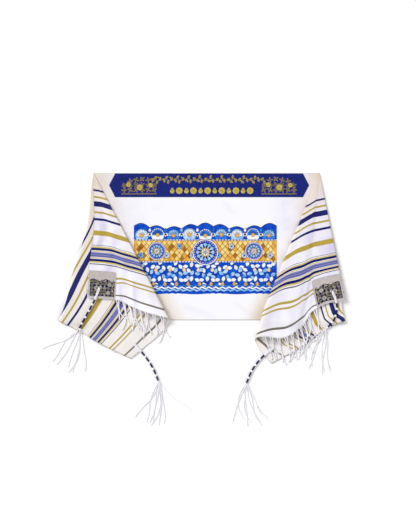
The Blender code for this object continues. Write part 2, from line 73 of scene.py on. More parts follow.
def bump(x: np.ndarray, middle: float, width: float) -> np.ndarray:
    """A soft hill of height 1: exp of minus the square of the distance from the middle over the width."""
    return np.exp(-(((x - middle) / width) ** 2))


def unit(vectors: np.ndarray) -> np.ndarray:
    """The same vectors, each of length 1."""
    return vectors / np.maximum(np.linalg.norm(vectors, axis=-1, keepdims=True), 1e-12)


def lengths(path: np.ndarray) -> np.ndarray:
    """The length of a path up to each of its points."""
    return np.concatenate([[0], np.cumsum(np.linalg.norm(np.diff(path, axis=0), axis=1))])


def on_circle(turn: ArrayLike) -> np.ndarray:
    """The points of the unit circle at angles in radians."""
    return np.stack([np.cos(turn), np.sin(turn)], -1)


def through(xs: list[float], ys: list[float], x: np.ndarray) -> np.ndarray:
    """A curve through a table's points, cubic between rows, that never overshoots.

    Args:
        xs: the rows' places, rising.
        ys: the rows' values.
        x: where to read the curve.

    Returns:
        The values, flat beyond both ends. The slope at a row is the harmonic mean of its two sides.
    """
    xs, ys = np.asarray(xs, float), np.asarray(ys, float)
    step, slope = np.diff(xs), np.diff(ys) / np.diff(xs)
    same_way = slope[:-1] * slope[1:] > 0
    mean = 2 * slope[:-1] * slope[1:] / np.where(same_way, slope[:-1] + slope[1:], 1)
    tangent = np.concatenate([slope[:1], np.where(same_way, mean, 0), slope[-1:]])
    i = np.clip(np.searchsorted(xs, x) - 1, 0, len(step) - 1)
    t = np.clip((x - xs[i]) / step[i], 0, 1)
    return (
        ys[i] * (1 + 2 * t) * (1 - t) ** 2
        + ys[i + 1] * t**2 * (3 - 2 * t)
        + step[i] * tangent[i] * t * (1 - t) ** 2
        - step[i] * tangent[i + 1] * t**2 * (1 - t)
    )


class Face(Enum):
    """The layer that a corner of the cloth lies in."""

    FLAP = "flap"
    UNDER = "under"


@dataclass(frozen=True)
class Cut:
    """The cloth as it was cut, and how its folds are laid: sizes in metres, turns in degrees."""

    length: float = 1.830
    width: float = 0.552
    wall: float = 0.0010
    layer_gap: float = 0.0006
    outer_spread: float = 0.012
    inner_spread: float = 0.016
    notch: float = 0.003
    drop_run: float = 0.035
    sweep_turn: float = 9.0
    edge_turn: float = 14.0
    fold_end: float = 0.49
    fold_end_run: float = 0.13

    @property
    def neck_y(self) -> float:
        """The neck edge, from the middle of the cloth's width."""
        return self.width / 2

    @property
    def pitch(self) -> float:
        """The rise from one layer to the next at the corner point."""
        return self.wall + self.layer_gap


@dataclass(frozen=True)
class Band:
    """The neckband: a long hexagon near the neck edge."""

    length: float = 0.750
    point: float = 0.023
    height: float = 0.089
    centre_x: float = 0.004
    inset: float = 0.0015
    thick: float = 0.0010
    seam: float = 0.0003


@dataclass(frozen=True)
class Patch:
    """A corner patch: a square of satin with an eyelet."""

    side: float = 0.105
    inset: float = 0.003
    thick: float = 0.0010
    gap: float = 0.0006
    eyelet_inset: float = 0.046
    lift_start: float = 0.090
    lift_run: float = 0.050

    @property
    def satin(self) -> float:
        """The satin's own thickness: the embroidery fills the rest of the solid's."""
        return 0.72 * self.thick


CUT, BAND, PATCH = Cut(), Band(), Patch()


def frame_shift() -> np.ndarray:
    """From the cloth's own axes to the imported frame, measured at the neckband's solid.

    Returns:
        The shift along X, Y and Z. The cloth's own origin is halfway down it, midway between corners.
    """
    low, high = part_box("atarah")
    top = CUT.neck_y - BAND.inset
    return np.array([(low.x + high.x) / 2 - BAND.centre_x, high.y - top, 0.0])


SHIFT = frame_shift()


@dataclass(frozen=True)
class Bend:
    """A bend of the ring: its angle in the flat cloth, where it lies, and the height it loses a metre."""

    cloth: float
    lay: float
    settle: float


@dataclass(frozen=True)
class Run:
    """A straight run of a corner tassel's stem: its length, and its heading on the floor."""

    length: float
    heading: float


@dataclass(frozen=True)
class TasselLay:
    """How a corner tassel lies: its corner, the runs of its stem, and the fan of its free strands."""

    name: str
    corner: Face
    runs: tuple[Run, ...]
    fan: tuple[float, float]
    curl: float


@dataclass(frozen=True)
class Crease:
    """A soft ridge in the cloth, from one place to another, both given in metres of cloth.

    A place is a length past the corner point and a distance from the neck edge. On the panel the
    first is X, from the cloth's middle.
    """

    start: tuple[float, float]
    stop: tuple[float, float]
    width: float
    height: float

    def hill(self, along: np.ndarray, across: np.ndarray, shift: float = 0.0) -> np.ndarray:
        """The ridge's share at each point: a bell across the line, faded out beyond its two ends.

        Args:
            along: the points' first coordinates.
            across: their second ones.
            shift: how many widths to move the bell to the side that the light leaves dark.

        Returns:
            1 on the line, falling to 0 about two widths from it.
        """
        first, last = np.array(self.start), np.array(self.stop)
        length = np.linalg.norm(last - first)
        ahead = (last - first) / length
        x, y = along - first[0], across - first[1]
        run = (x * ahead[0] + y * ahead[1]) / length
        off = (y * ahead[0] - x * ahead[1]) / self.width - shift
        ends = smooth(run * length / self.width / 2 + 1) * smooth((1 - run) * length / self.width / 2 + 1)
        return np.exp(-(off**2)) * ends


def bends(*rows: tuple[float, float, float]) -> tuple[Bend, ...]:
    """A table of bends from rows of their fields."""
    return tuple(Bend(*row) for row in rows)


def creases(*rows: tuple[float, ...]) -> tuple[Crease, ...]:
    """Creases from rows of two places and a width in metres, and a height in millimetres."""
    return tuple(Crease(row[:2], row[2:4], row[4], row[5] * MM) for row in rows)


@dataclass(frozen=True)
class FoldedEnd:
    """One end of the cloth, folded twice. Angles are degrees round the corner point, sizes metres."""

    name: str
    side: int
    corner_x: float
    reach: float
    flap: tuple[Bend, ...]
    under: tuple[Bend, ...]
    gather_start: float
    gather: float
    gather_to: float
    sweep_depth: float
    sweep: float
    bow: float
    bow_length: float
    fringe_headings: tuple[float, float]
    tassels: tuple[TasselLay, ...]
    flap_creases: tuple[Crease, ...]
    under_creases: tuple[Crease, ...]
    fold_pull: float
    outer_pull: float = 0.0
    hem_drop: float = 0.0
    edge_bow: float = 0.0
    edge_skew: float = 0.0
    fold_turn: float = 0.0
    beside_pull: float = 0.016

    @property
    def folds(self) -> tuple[float, float]:
        """The cloth angles of the inner fold and the outer fold, in radians."""
        return math.radians(self.flap[-1].cloth), math.radians(self.under[-1].cloth)

    def column(self, name: str, value: str, degrees: np.ndarray) -> np.ndarray:
        """Reads one column of the flap's or the under layer's table at some cloth angles."""
        rows = getattr(self, name)
        return through([row.cloth for row in rows], [getattr(row, value) for row in rows], degrees)

    def patch_lift(self, angle: np.ndarray, distance: np.ndarray) -> np.ndarray:
        """The rise of the layers where the patch of the lower corner lies beneath them."""
        past, across = distance * np.cos(angle), distance * np.sin(angle)
        patch_end = self.reach - PATCH.side - PATCH.inset
        patch_edge = CUT.width - PATCH.side - PATCH.inset
        near_end = smooth((past - patch_end + PATCH.lift_start) / PATCH.lift_run)
        near_edge = smooth((across - patch_edge + PATCH.lift_start) / PATCH.lift_run)
        return near_end * near_edge * (PATCH.thick + PATCH.gap)

    def lay(self, angle: np.ndarray, distance: np.ndarray) -> np.ndarray:
        """Where a point of the cloth lies: the middle of its wall, on the cloth's own axes.

        Each layer turns round the corner point to the angle that its table gives. Each fold is a
        roll of radius pitch / 2 + spread * distance, on which the height is radius * (1 - cos turn).
        Past the panel's lower edge the layers sink to the floor on a cubic slope.

        Args:
            angle: the angle in the flat cloth, from the neck edge, in radians.
            distance: the distance from the corner point.

        Returns:
            An array of points, with one axis more than the arguments.
        """
        angle, distance = np.broadcast_arrays(np.asarray(angle, float), np.asarray(distance, float))
        inner, outer = self.folds
        degrees = np.degrees(angle)
        on_flap, on_back = angle < inner, angle > outer
        turned_to = np.where(
            on_flap, self.column("flap", "lay", degrees), self.column("under", "lay", degrees)
        )
        lies = np.where(on_back, angle, np.radians(turned_to))
        under_settle = self.column("under", "settle", degrees)
        settle = np.where(on_flap, self.column("flap", "settle", degrees), under_settle)
        settle = np.where(on_back, 0.0, settle)

        height = np.zeros_like(lies)
        for fold, spread, turns_in in ((outer, CUT.outer_spread, 1), (inner, CUT.inner_spread, -1)):
            radius = CUT.pitch / 2 + spread * distance
            past = distance * (fold - angle)
            turned = np.clip(past / radius + math.pi / 2, 0, math.pi)
            height += radius * (1 - np.cos(turned))
            rounding = math.pi / 2 * radius - radius * np.sin(turned) - np.abs(past)
            in_roll = np.abs(past) < math.pi / 2 * radius
            lies = lies + turns_in * np.where(in_roll, rounding, 0) / distance
        height += distance * settle

        past_start = np.maximum(distance * np.cos(angle) - self.gather_start, 0)
        outer_side = np.where(on_flap, 1 - smooth(2 * degrees / self.gather_to - 1), 0)
        laid = distance - outer_side * self.gather * past_start
        laid = laid + self.hem_drop * self.near_hem(angle, distance) * on_flap
        depth, out = laid * np.sin(lies), laid * np.cos(lies)
        flap_lay = math.radians(self.flap[-1].lay)
        from_inner = smooth((flap_lay - lies) / math.radians(CUT.sweep_turn))
        from_back = smooth((math.pi / 2 - lies) / (math.pi / 2 - outer))
        follows = np.where(on_back, from_back, np.where(on_flap, 0, from_inner))
        out = out + follows * self.sweep * np.maximum(depth - self.sweep_depth, 0) ** 2
        bowed = np.sin(math.pi * np.clip(depth / self.bow_length, 0, 1)) ** 2
        out = out - self.edge_bow * bowed * np.where(on_flap, 1 - smooth(degrees / CUT.edge_turn), 0)
        by_inner = smooth((lies - flap_lay) / math.radians(CUT.edge_turn) + 1) * np.where(on_back, 0, 1)
        out = out + self.fold_turn * by_inner * smooth((depth - CUT.fold_end) / CUT.fold_end_run)
        near_fold = np.where(on_flap, 0, smooth((flap_lay - lies) / (flap_lay - outer)))
        near_fold = np.where(on_back, from_back, near_fold)
        out = out - near_fold * self.bow * bowed

        under_rise = 2 * CUT.outer_spread + np.where(on_back, 0, under_settle)
        off_panel = np.where(on_back, 0, smooth((depth - CUT.width) / CUT.drop_run))
        height = height - off_panel * (CUT.pitch + distance * under_rise)
        height = height + self.patch_lift(angle, distance)
        return np.stack(
            [self.side * (self.corner_x + out), CUT.neck_y - depth, CUT.wall / 2 + height], axis=-1
        )

    def near_hem(self, angle: np.ndarray, distance: np.ndarray) -> np.ndarray:
        """1 at the middle of the flap's hem, falling to 0 at the patch, at the fold and further in."""
        degrees = np.degrees(angle)
        middle = smooth((degrees - 14) / 8) * (1 - smooth((degrees - 32) / 9))
        return middle * smooth((distance * np.cos(angle) - self.reach) / 0.20 + 1)

    def relief(self, points: np.ndarray, angle: np.ndarray, distance: np.ndarray) -> np.ndarray:
        """The soft ripples of the laid layers, added to their heights.

        The upper layers share ripples that depend only on where a point lies, so that they never
        meet: hills across the fall of the cloth, which fade towards the corner point and the panel.

        Args:
            points: where lay() puts the points.
            angle: the angles in the flat cloth.
            distance: the distances from the corner point.

        Returns:
            The rise of each point.
        """
        inner, outer = self.folds
        lies = np.arctan2(CUT.neck_y - points[..., 1], self.side * points[..., 0] - self.corner_x)
        depth = CUT.neck_y - points[..., 1]
        grown = smooth((distance - 0.10) / 0.35)
        upper = smooth((outer - angle) * distance / 0.02)
        ripple = 0.5 + 0.5 * np.sin(lies * 34.0 + 3.0 * np.sin(depth * 9.0) + self.side)
        small = 0.5 + 0.5 * np.sin(lies * 61.0 - depth * 14.0)
        shared = grown * upper * (1.1 * MM * ripple + 0.4 * MM * small)
        hem = smooth((distance * np.cos(angle) - self.reach + 0.13) / 0.10)
        on_flap = smooth((inner - angle) * distance / 0.015)
        waves = 0.5 + 0.5 * np.sin(angle * distance * 95.0 + 1.7 * np.sin(angle * 9.0))
        past, across = distance * np.cos(angle), distance * np.sin(angle)
        raised = sum(c.height * c.hill(past, across) for c in self.flap_creases) * on_flap
        under = sum(c.height * c.hill(past, across) for c in self.under_creases)
        open_air = smooth((across - self.reach * math.tan(inner) - 0.02) / 0.03) * upper
        return shared + on_flap * hem * 1.6 * MM * waves + raised + under * open_air

    def surface(self, angle: np.ndarray, distance: np.ndarray) -> np.ndarray:
        """lay() with the ripples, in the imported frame."""
        points = self.lay(angle, distance)
        points[..., 2] += self.relief(points, *np.broadcast_arrays(angle, distance))
        return points + SHIFT

    def from_cloth(self, past: np.ndarray, across: np.ndarray) -> np.ndarray:
        """surface() for points given by length past the corner and distance from the neck edge."""
        return self.surface(np.arctan2(across, past), np.hypot(past, across))

    def right_side(self, past: np.ndarray, across: np.ndarray) -> np.ndarray:
        """The unit normals on the cloth's right side: the cross product of its two small steps."""
        small = 1e-4
        along = self.from_cloth(past + small, across) - self.from_cloth(past - small, across)
        over = self.from_cloth(past, across + small) - self.from_cloth(past, across - small)
        return unit(self.side * np.cross(over, along))


LEFT_REACH, LEFT_CORNER_X, RIGHT_CORNER_X = 0.480, 0.429, 0.418
LEFT_END = FoldedEnd(
    name="left",
    side=-1,
    corner_x=LEFT_CORNER_X,
    reach=LEFT_REACH,
    flap=bends(
        (0.0, 87.2, -0.036), (10.0, 96.8, -0.043), (17.0, 102.6, -0.042), (24.5, 106.8, -0.030),
        (30.0, 110.2, -0.018), (39.0, 118.0, -0.014),
    ),
    under=bends(
        (39.0, 118.0, -0.014), (45.0, 112.0, -0.019), (58.0, 97.5, -0.022), (66.0, 89.5, -0.018),
        (77.75, 77.75, 0.0),
    ),
    gather_start=0.400,
    gather=0.15,
    gather_to=24.0,
    sweep_depth=0.441,
    sweep=1.23,
    bow=0.017,
    bow_length=0.40,
    fringe_headings=(-78.0, -80.0),
    tassels=(
        TasselLay(
            name="upper_left", corner=Face.FLAP,
            runs=(Run(0.046, -111), Run(0.060, -119), Run(0.062, -119)), fan=(-140.0, -45.0),
            curl=-25.0,
        ),
        TasselLay(
            name="lower_left", corner=Face.UNDER,
            runs=(Run(0.060, -48), Run(0.055, -55), Run(0.055, -68)), fan=(-110.0, -50.0), curl=-30.0,
        ),
    ),
    flap_creases=creases(
        (0.150, 0.030, 0.262, 0.025, 0.012, 1.2), (0.191, 0.049, 0.262, 0.022, 0.014, 1.8),
        (0.215, 0.105, 0.355, 0.061, 0.019, 2.4), (0.381, 0.211, 0.462, 0.219, 0.011, 2.6),
        (0.300, 0.165, 0.395, 0.150, 0.016, 1.5), (0.410, 0.290, 0.470, 0.315, 0.013, 1.8),
        (0.405, 0.128, 0.470, 0.133, 0.010, 2.0),
    ),
    under_creases=creases(
        (0.395, 0.455, 0.470, 0.520, 0.016, 2.2), (0.330, 0.480, 0.410, 0.535, 0.013, 1.6),
        (0.250, 0.470, 0.290, 0.540, 0.018, 1.8),
    ),
    fold_pull=0.004,
    outer_pull=0.005,
    edge_bow=0.012,
)
RIGHT_END = FoldedEnd(
    name="right",
    side=1,
    corner_x=RIGHT_CORNER_X,
    reach=CUT.length - LEFT_REACH - LEFT_CORNER_X - RIGHT_CORNER_X,
    flap=bends(
        (0.0, 78.6, -0.031), (5.0, 83.4, -0.027), (10.0, 88.3, -0.036), (16.0, 93.8, -0.041),
        (24.0, 97.4, -0.030), (30.0, 100.4, -0.018), (41.5, 113.0, -0.014),
    ),
    under=bends(
        (41.5, 113.0, -0.014), (47.5, 107.0, -0.019), (58.0, 96.5, -0.022), (66.5, 90.2, -0.018),
        (73.5, 85.6, -0.012), (80.0, 80.0, 0.0),
    ),
    gather_start=0.355,
    gather=0.13,
    gather_to=17.0,
    sweep_depth=0.505,
    sweep=0.8,
    bow=0.006,
    bow_length=0.50,
    fringe_headings=(-74.0, -78.0),
    tassels=(
        TasselLay(
            name="upper_right", corner=Face.FLAP,
            runs=(Run(0.046, -66), Run(0.034, -92), Run(0.042, -110), Run(0.034, -140)),
            fan=(-150.0, -78.0), curl=20.0,
        ),
        TasselLay(
            name="lower_right", corner=Face.UNDER,
            runs=(Run(0.060, -140), Run(0.055, -128), Run(0.055, -112)), fan=(-125.0, -62.0),
            curl=28.0,
        ),
    ),
    flap_creases=creases(
        (0.363, 0.132, 0.494, 0.256, 0.020, 3.2), (0.262, 0.050, 0.298, 0.041, 0.010, 2.0),
        (0.376, 0.033, 0.397, 0.017, 0.008, 1.4), (0.170, 0.080, 0.270, 0.130, 0.017, 1.6),
        (0.320, 0.215, 0.400, 0.275, 0.022, 1.8), (0.430, 0.330, 0.495, 0.375, 0.014, 2.0),
        (0.420, 0.126, 0.490, 0.150, 0.010, 2.0),
    ),
    under_creases=creases(
        (0.425, 0.470, 0.495, 0.500, 0.012, 2.6), (0.350, 0.465, 0.395, 0.545, 0.016, 2.0),
        (0.270, 0.500, 0.330, 0.545, 0.014, 2.4),
    ),
    fold_pull=0.020,
    outer_pull=0.016,
    hem_drop=0.036,
    edge_skew=0.026,
    fold_turn=0.014,
    beside_pull=0.024,
)
ENDS = (LEFT_END, RIGHT_END)
PANEL_CREASES = creases(
    (0.292, 0.110, 0.300, 0.200, 0.009, 0.8), (0.325, 0.205, 0.290, 0.217, 0.006, 0.6),
    (0.070, 0.108, 0.100, 0.140, 0.012, 0.5), (-0.150, 0.106, -0.190, 0.138, 0.012, 0.6),
    (-0.080, 0.490, 0.020, 0.528, 0.012, 0.7), (0.110, 0.482, 0.180, 0.530, 0.010, 0.6),
)


@dataclass
class MeshParts:
    """Points, faces and what they carry, gathered before they become one mesh."""

    points: list[np.ndarray] = field(default_factory=list)
    faces: list[list[int]] = field(default_factory=list)
    slots: list[int] = field(default_factory=list)
    attributes: dict[str, list[np.ndarray]] = field(default_factory=dict)
    count: int = 0

    def add(self, points: np.ndarray, faces: np.ndarray, slot: int = 0, **carried: np.ndarray) -> None:
        """Takes in a surface.

        Args:
            points: its points, in any grid shape with a last axis of 3.
            faces: the point numbers of each face, counted from 0.
            slot: the number of the finish that its faces wear.
            carried: a value for each point, by attribute name.
        """
        flat = np.asarray(points, float).reshape(-1, 3)
        self.points.append(flat)
        self.join(np.asarray(faces) + self.count, slot)
        for name, values in carried.items():
            self.attributes.setdefault(name, []).append(np.asarray(values, float).reshape(-1))
        self.count += len(flat)

    def join(self, faces: ArrayLike, slot: int = 0) -> None:
        """Adds faces between points that are already in."""
        self.faces += np.asarray(faces).tolist()
        self.slots += [slot] * len(faces)

    def turned(self, turn: bool) -> "MeshParts":
        """The same parts, with every face turned over where turn is True."""
        if turn:
            self.faces = [face[::-1] for face in self.faces]
        return self

    def to_object(self, name: str, finishes: list[Material], flat: bool = False) -> Piece:
        """Makes the piece.

        Args:
            name: the piece's name.
            finishes: its materials, in the order of the slots.
            flat: True for facets, False for smooth shading.

        Returns:
            The new object, at the origin.
        """
        mesh = bpy.data.meshes.new(name)
        mesh.from_pydata(np.concatenate(self.points), [], self.faces)
        for finish in finishes:
            mesh.materials.append(finish)
        mesh.polygons.foreach_set("material_index", np.array(self.slots, np.int32))
        mesh.polygons.foreach_set("use_smooth", np.full(len(self.slots), not flat))
        for key, values in self.attributes.items():
            layer = mesh.attributes.new(key, "FLOAT", "POINT")
            layer.data.foreach_set("value", np.concatenate(values).astype(np.float32))
        mesh.update()
        piece = bpy.data.objects.new(name, mesh)
        bpy.context.scene.collection.objects.link(piece)
        return piece


def grid_faces(rows: int, columns: int, wrap: bool = False, turn: bool = False) -> np.ndarray:
    """The four-sided faces of a grid stored row by row.

    Args:
        rows: how many rows of points.
        columns: how many points in a row.
        wrap: True where the last column joins the first, as round a tube.
        turn: True to turn the faces over.

    Returns:
        An array of point numbers, four to a face.
    """
    r, c = np.meshgrid(np.arange(rows - 1), np.arange(columns if wrap else columns - 1), indexing="ij")
    nxt = (c + 1) % columns
    quads = np.stack([r * columns + c, r * columns + nxt, (r + 1) * columns + nxt, (r + 1) * columns + c], -1)
    quads = quads.reshape(-1, 4)
    return quads[:, ::-1] if turn else quads


def thicken(piece: Piece, wall: float) -> None:
    """Gives an open sheet a wall, half to each side, with a Solidify modifier."""
    solidify = piece.modifiers.new("Wall", "SOLIDIFY")
    solidify.thickness, solidify.offset = wall, 0.0


class Value:
    """A number in a material, on which sums are written as Python expressions."""

    def __init__(self, shader: "Shader", socket: bpy.types.NodeSocket) -> None:
        """Wraps an output socket."""
        self.shader, self.socket = shader, socket

    def math(self, operation: str, *others: "Value | float") -> "Value":
        """Adds a Math node of that operation, with this value first."""
        return self.shader.math(operation, self, *others)

    def __add__(self, other: "Value | float") -> "Value":
        """The sum."""
        return self.math("ADD", other)

    __radd__ = __add__

    def __mul__(self, other: "Value | float") -> "Value":
        """The product."""
        return self.math("MULTIPLY", other)

    __rmul__ = __mul__

    def __sub__(self, other: "Value | float") -> "Value":
        """The difference."""
        return self.math("SUBTRACT", other)

    def __rsub__(self, other: float) -> "Value":
        """A number less this value."""
        return self.shader.math("SUBTRACT", other, self)

    def __truediv__(self, other: "Value | float") -> "Value":
        """The quotient."""
        return self.math("DIVIDE", other)

    def wave(self, length: float) -> "Value":
        """A sine wave of that length: sin(2 pi * value / length)."""
        return (self * (TURN / length)).math("SINE")

    def size(self) -> "Value":
        """The value without its sign."""
        return self.math("ABSOLUTE")

    def between(self, low: float, high: float) -> "Value":
        """0 below low, 1 above high, and a straight rise between."""
        return self.shader.node(
            "ShaderNodeMapRange", {"clamp": True}, {"Value": self, "From Min": low, "From Max": high}
        ).result


@dataclass
class Made:
    """A node just made, and the shader that it is in."""

    shader: "Shader"
    node: bpy.types.Node

    @property
    def result(self) -> Value:
        """The node's first output in use."""
        return Value(self.shader, next(o for o in self.node.outputs if o.enabled))

    def out(self, name: str) -> Value:
        """The output of that name."""
        return Value(self.shader, self.node.outputs[name])


Colour = tuple[float, float, float]
Tint = Value | Colour
Surface = Callable[[np.ndarray, np.ndarray, np.ndarray], np.ndarray]


def hex_colour(code: str) -> Colour:
    """A colour from its six hex digits, as linear light: ((v + 0.055) / 1.055) ^ 2.4 above the toe."""
    parts = [int(code[i : i + 2], 16) / 255 for i in (0, 2, 4)]
    return tuple(v / 12.92 if v <= 0.04045 else ((v + 0.055) / 1.055) ** 2.4 for v in parts)


class Shader:
    """A material being made: its node tree, and the principled shader at its end."""

    def __init__(self, name: str, roughness: float, **constants: float) -> None:
        """Starts a material.

        Args:
            name: the finish's name.
            roughness: how rough it is where nothing changes it.
            constants: values set on the shader's own sockets, by name with _ for a space.
        """
        self.material = bpy.data.materials.new(name)
        self.material.use_nodes = True
        self.tree = self.material.node_tree
        self.principled = self.tree.nodes["Principled BSDF"]
        self.principled.inputs["Roughness"].default_value = roughness
        for key, value in constants.items():
            self.principled.inputs[key.replace("_", " ")].default_value = value

    def node(self, kind: str, settings: dict | None = None, inputs: dict | None = None) -> Made:
        """Adds a node.

        Args:
            kind: the node's type.
            settings: its own settings, set first. "stops" are a ramp's places and colours.
            inputs: a value or a link for each socket, by name or number.

        Returns:
            The node, wrapped.
        """
        node = self.tree.nodes.new(kind)
        for key, value in (settings or {}).items():
            if key == "stops":
                ramp = node.color_ramp
                while len(ramp.elements) < len(value):
                    ramp.elements.new(1.0)
                for element, (place, colour) in zip(ramp.elements, value):
                    element.position = place
                    element.color = (*colour, 1.0)
            elif key == "interpolation":
                node.color_ramp.interpolation = value
            else:
                setattr(node, key, value)
        for key, value in (inputs or {}).items():
            if isinstance(key, str):
                socket = next(s for s in node.inputs if s.name == key and s.enabled)
            else:
                socket = node.inputs[key]
            self.put(socket, value)
        return Made(self, node)

    def put(self, socket: bpy.types.NodeSocket, value: Tint | float) -> None:
        """Links a value to a socket, or sets a number or a colour on it."""
        if isinstance(value, Value):
            self.tree.links.new(value.socket, socket)
        elif isinstance(value, tuple) and len(value) == 3 and len(socket.default_value) == 4:
            socket.default_value = (*value, 1.0)
        else:
            socket.default_value = value

    def math(self, operation: str, *values: Value | float) -> Value:
        """Adds a Math node."""
        return self.node("ShaderNodeMath", {"operation": operation}, dict(enumerate(values))).result

    def attribute(self, name: str) -> Value:
        """The number that the piece carries under that name."""
        return self.node("ShaderNodeAttribute", {"attribute_name": name}).out("Fac")

    def place(self) -> Value:
        """The Object coordinates."""
        return self.node("ShaderNodeTexCoord").out("Object")

    def noise(self, scale: float, detail: float = 2.0, at: Value | None = None) -> Value:
        """Soft noise from 0 to 1, of a number of blobs per metre."""
        inputs = {"Vector": at or self.place(), "Scale": scale, "Detail": detail}
        return self.node("ShaderNodeTexNoise", None, inputs).out("Fac")

    def mix(self, share: Value | float, first: Tint, second: Tint, how: str = "MIX") -> Value:
        """A blend of two colours, the second one by its share."""
        settings = {"data_type": "RGBA", "blend_type": how}
        return self.node("ShaderNodeMix", settings, {0: share, 6: first, 7: second}).out("Result")

    def axes(self) -> tuple[Value, Value]:
        """X and Y of the Object coordinates."""
        split = self.node("ShaderNodeSeparateXYZ", None, {"Vector": self.place()})
        return split.out("X"), split.out("Y")

    def finish(self, colour: Tint, height: Value | None = None, depth: float = 0.2 * MM) -> Material:
        """Puts the colour and the bump on the principled shader.

        Args:
            colour: the base colour.
            height: the surface's height, as a share of depth.
            depth: how far the bump reaches, in metres.

        Returns:
            The material.
        """
        self.put(self.principled.inputs["Base Color"], colour)
        if height is not None:
            inputs = {"Height": height, "Strength": 1.0, "Distance": depth}
            raised = self.node("ShaderNodeBump", None, inputs).out("Normal")
            self.put(self.principled.inputs["Normal"], raised)
        return self.material


@dataclass(frozen=True)
class Stripe:
    """A woven stripe: its middle from the short end, its width, both in millimetres, and its colour."""

    at: float
    width: float
    colour: Colour


NAVY = hex_colour("08186c")
GOLD = hex_colour("bda547")
PALE_GOLD = hex_colour("dac67c")
GREY = hex_colour("7a746b")
INK_GREY = hex_colour("4c5064")
LAVENDER = hex_colour("8186c2")
SLATE = hex_colour("34387e")
WHITE_COTTON = hex_colour("f9f9fd")
# Painted shade on the white: a lavender tone and a beige tone.
LAVENDER_SHADE_TONE = hex_colour("d9d0ec")
BEIGE_SHADE_TONE = hex_colour("e0cfb8")
# The hem's grey-beige, darkened as a painted shadow line.
HEM_AND_SHADOW_GREY = hex_colour("cfc5bd")
TWILL_SHADE = hex_colour("a8a48c")

STRIPES = tuple(
    Stripe(*row)
    for row in (
        (31.1, 6.8, GREY), (86.2, 6.2, GOLD), (101.4, 6.2, GOLD), (143.4, 3.0, INK_GREY),
        (151.0, 4.4, PALE_GOLD), (158.6, 9.4, NAVY), (166.4, 4.2, PALE_GOLD), (171.3, 3.8, LAVENDER),
        (174.3, 1.8, SLATE), (177.7, 4.6, LAVENDER), (181.1, 1.8, SLATE), (185.0, 5.4, LAVENDER),
        (191.4, 4.2, PALE_GOLD), (199.1, 9.0, NAVY), (206.6, 4.2, PALE_GOLD), (214.0, 3.0, INK_GREY),
        (260.3, 18.4, GOLD), (310.5, 8.4, NAVY), (336.4, 6.8, GOLD), (367.9, 19.6, NAVY),
        (394.9, 6.6, GOLD), (419.3, 8.4, NAVY),
    )
)


@dataclass(frozen=True)
class WovenCloth:
    """The white cloth with its woven stripes, read from the distance to the short end."""

    thread: float = 0.9 * MM
    twill: float = 4.2 * MM
    selvedge: float = 3.5 * MM
    selvedge_fade: float = 1.2 * MM
    ramp_reach: float = 0.46
    ramp_stripes: int = 11

    def build(self) -> Material:
        """Makes the material.

        The twill is a sine of the two cloth coordinates' sum, the plain weave a product of two
        sines. The stripes are read from two ramps at a time.

        Returns:
            The material.
        """
        shader = Shader("woven_cloth", 0.85, Sheen_Weight=0.08, Specular_IOR_Level=0.12)
        across, along = shader.attribute("across"), shader.attribute("along")
        # Two painted shades, mixed into the white where the cloth lies in shade: a lavender tone and a beige
        # tone, each varied by a soft noise.
        warm = shader.attribute("warm")
        mottle = shader.noise(11.0, 3.0).between(0.42, 0.66)
        colour = shader.mix(shader.attribute("cool") * (mottle * 0.5 + 0.5), WHITE_COTTON, LAVENDER_SHADE_TONE)
        colour = shader.mix(warm * (mottle * 0.3 + 0.7), colour, BEIGE_SHADE_TONE)
        half = CUT.width / 2
        # A grey-beige line along both long edges: the hem, darkened as a painted shadow line.
        hem_and_shadow_line = ((across - half).size() - (half - self.selvedge)).between(0, self.selvedge_fade)
        colour = shader.mix(hem_and_shadow_line * 0.6, colour, HEM_AND_SHADOW_GREY)
        twill = (along + across).wave(self.twill)
        where = shader.attribute("from_end") / self.ramp_reach
        for start in range(0, len(STRIPES), self.ramp_stripes):
            hues, mask = self.ramps(shader, STRIPES[start : start + self.ramp_stripes], where)
            hues = shader.mix(twill.between(-0.4, 0.4) * 0.3, hues, TWILL_SHADE, "MULTIPLY")
            # A little of the painted beige shade lies over the stripes too.
            colour = shader.mix(mask, colour, shader.mix(warm * 0.04, hues, BEIGE_SHADE_TONE))
        weave = along.wave(self.thread) * across.wave(self.thread)
        return shader.finish(colour, weave * 0.5 + twill * 0.2, 0.12 * MM)

    def ramps(self, shader: Shader, stripes: tuple[Stripe, ...], where: Value) -> tuple[Value, ...]:
        """Two ramps of plain steps: the stripes' colours, and white wherever a stripe is."""
        full, none = (1.0, 1.0, 1.0), (0.0, 0.0, 0.0)
        hues, marks, edge = [(0.0, full)], [(0.0, none)], 0.0
        for stripe in stripes:
            low, high = ((stripe.at + way * stripe.width / 2) * MM / self.ramp_reach for way in (-1, 1))
            if low - edge < 1e-4:
                hues.pop()
                marks.pop()
            hues += [(low, stripe.colour), (high, full)]
            marks += [(low, full), (high, none)]
            edge = high
        settings = [{"stops": stops, "interpolation": "CONSTANT"} for stops in (hues, marks)]
        kind, inputs = "ShaderNodeValToRGB", {"Fac": where}
        return tuple(shader.node(kind, each, inputs).out("Color") for each in settings)


@dataclass(frozen=True)
class Dyed:
    """A finish of two tones, given as hex digits."""

    name: str
    colour: str
    shade: str

    @property
    def tones(self) -> tuple[Colour, Colour]:
        """The colour and its shade."""
        return hex_colour(self.colour), hex_colour(self.shade)


@dataclass(frozen=True)
class Satin(Dyed):
    """A satin: a smooth cloth whose fine ribs run along X of its own coordinates."""

    roughness: float = 0.42
    rib: float = 0.7 * MM

    def build(self) -> Material:
        """Makes the material: two tones in soft blotches, with ribs as a sine of Y."""
        shader = Shader(self.name, self.roughness, Specular_IOR_Level=0.16)
        colour = shader.mix(shader.noise(60.0, 3.0).between(0.35, 0.7), *self.tones)
        x, y = shader.axes()
        return shader.finish(colour, y.wave(self.rib) * 0.7 + x.wave(2 * self.rib) * 0.3, 0.08 * MM)


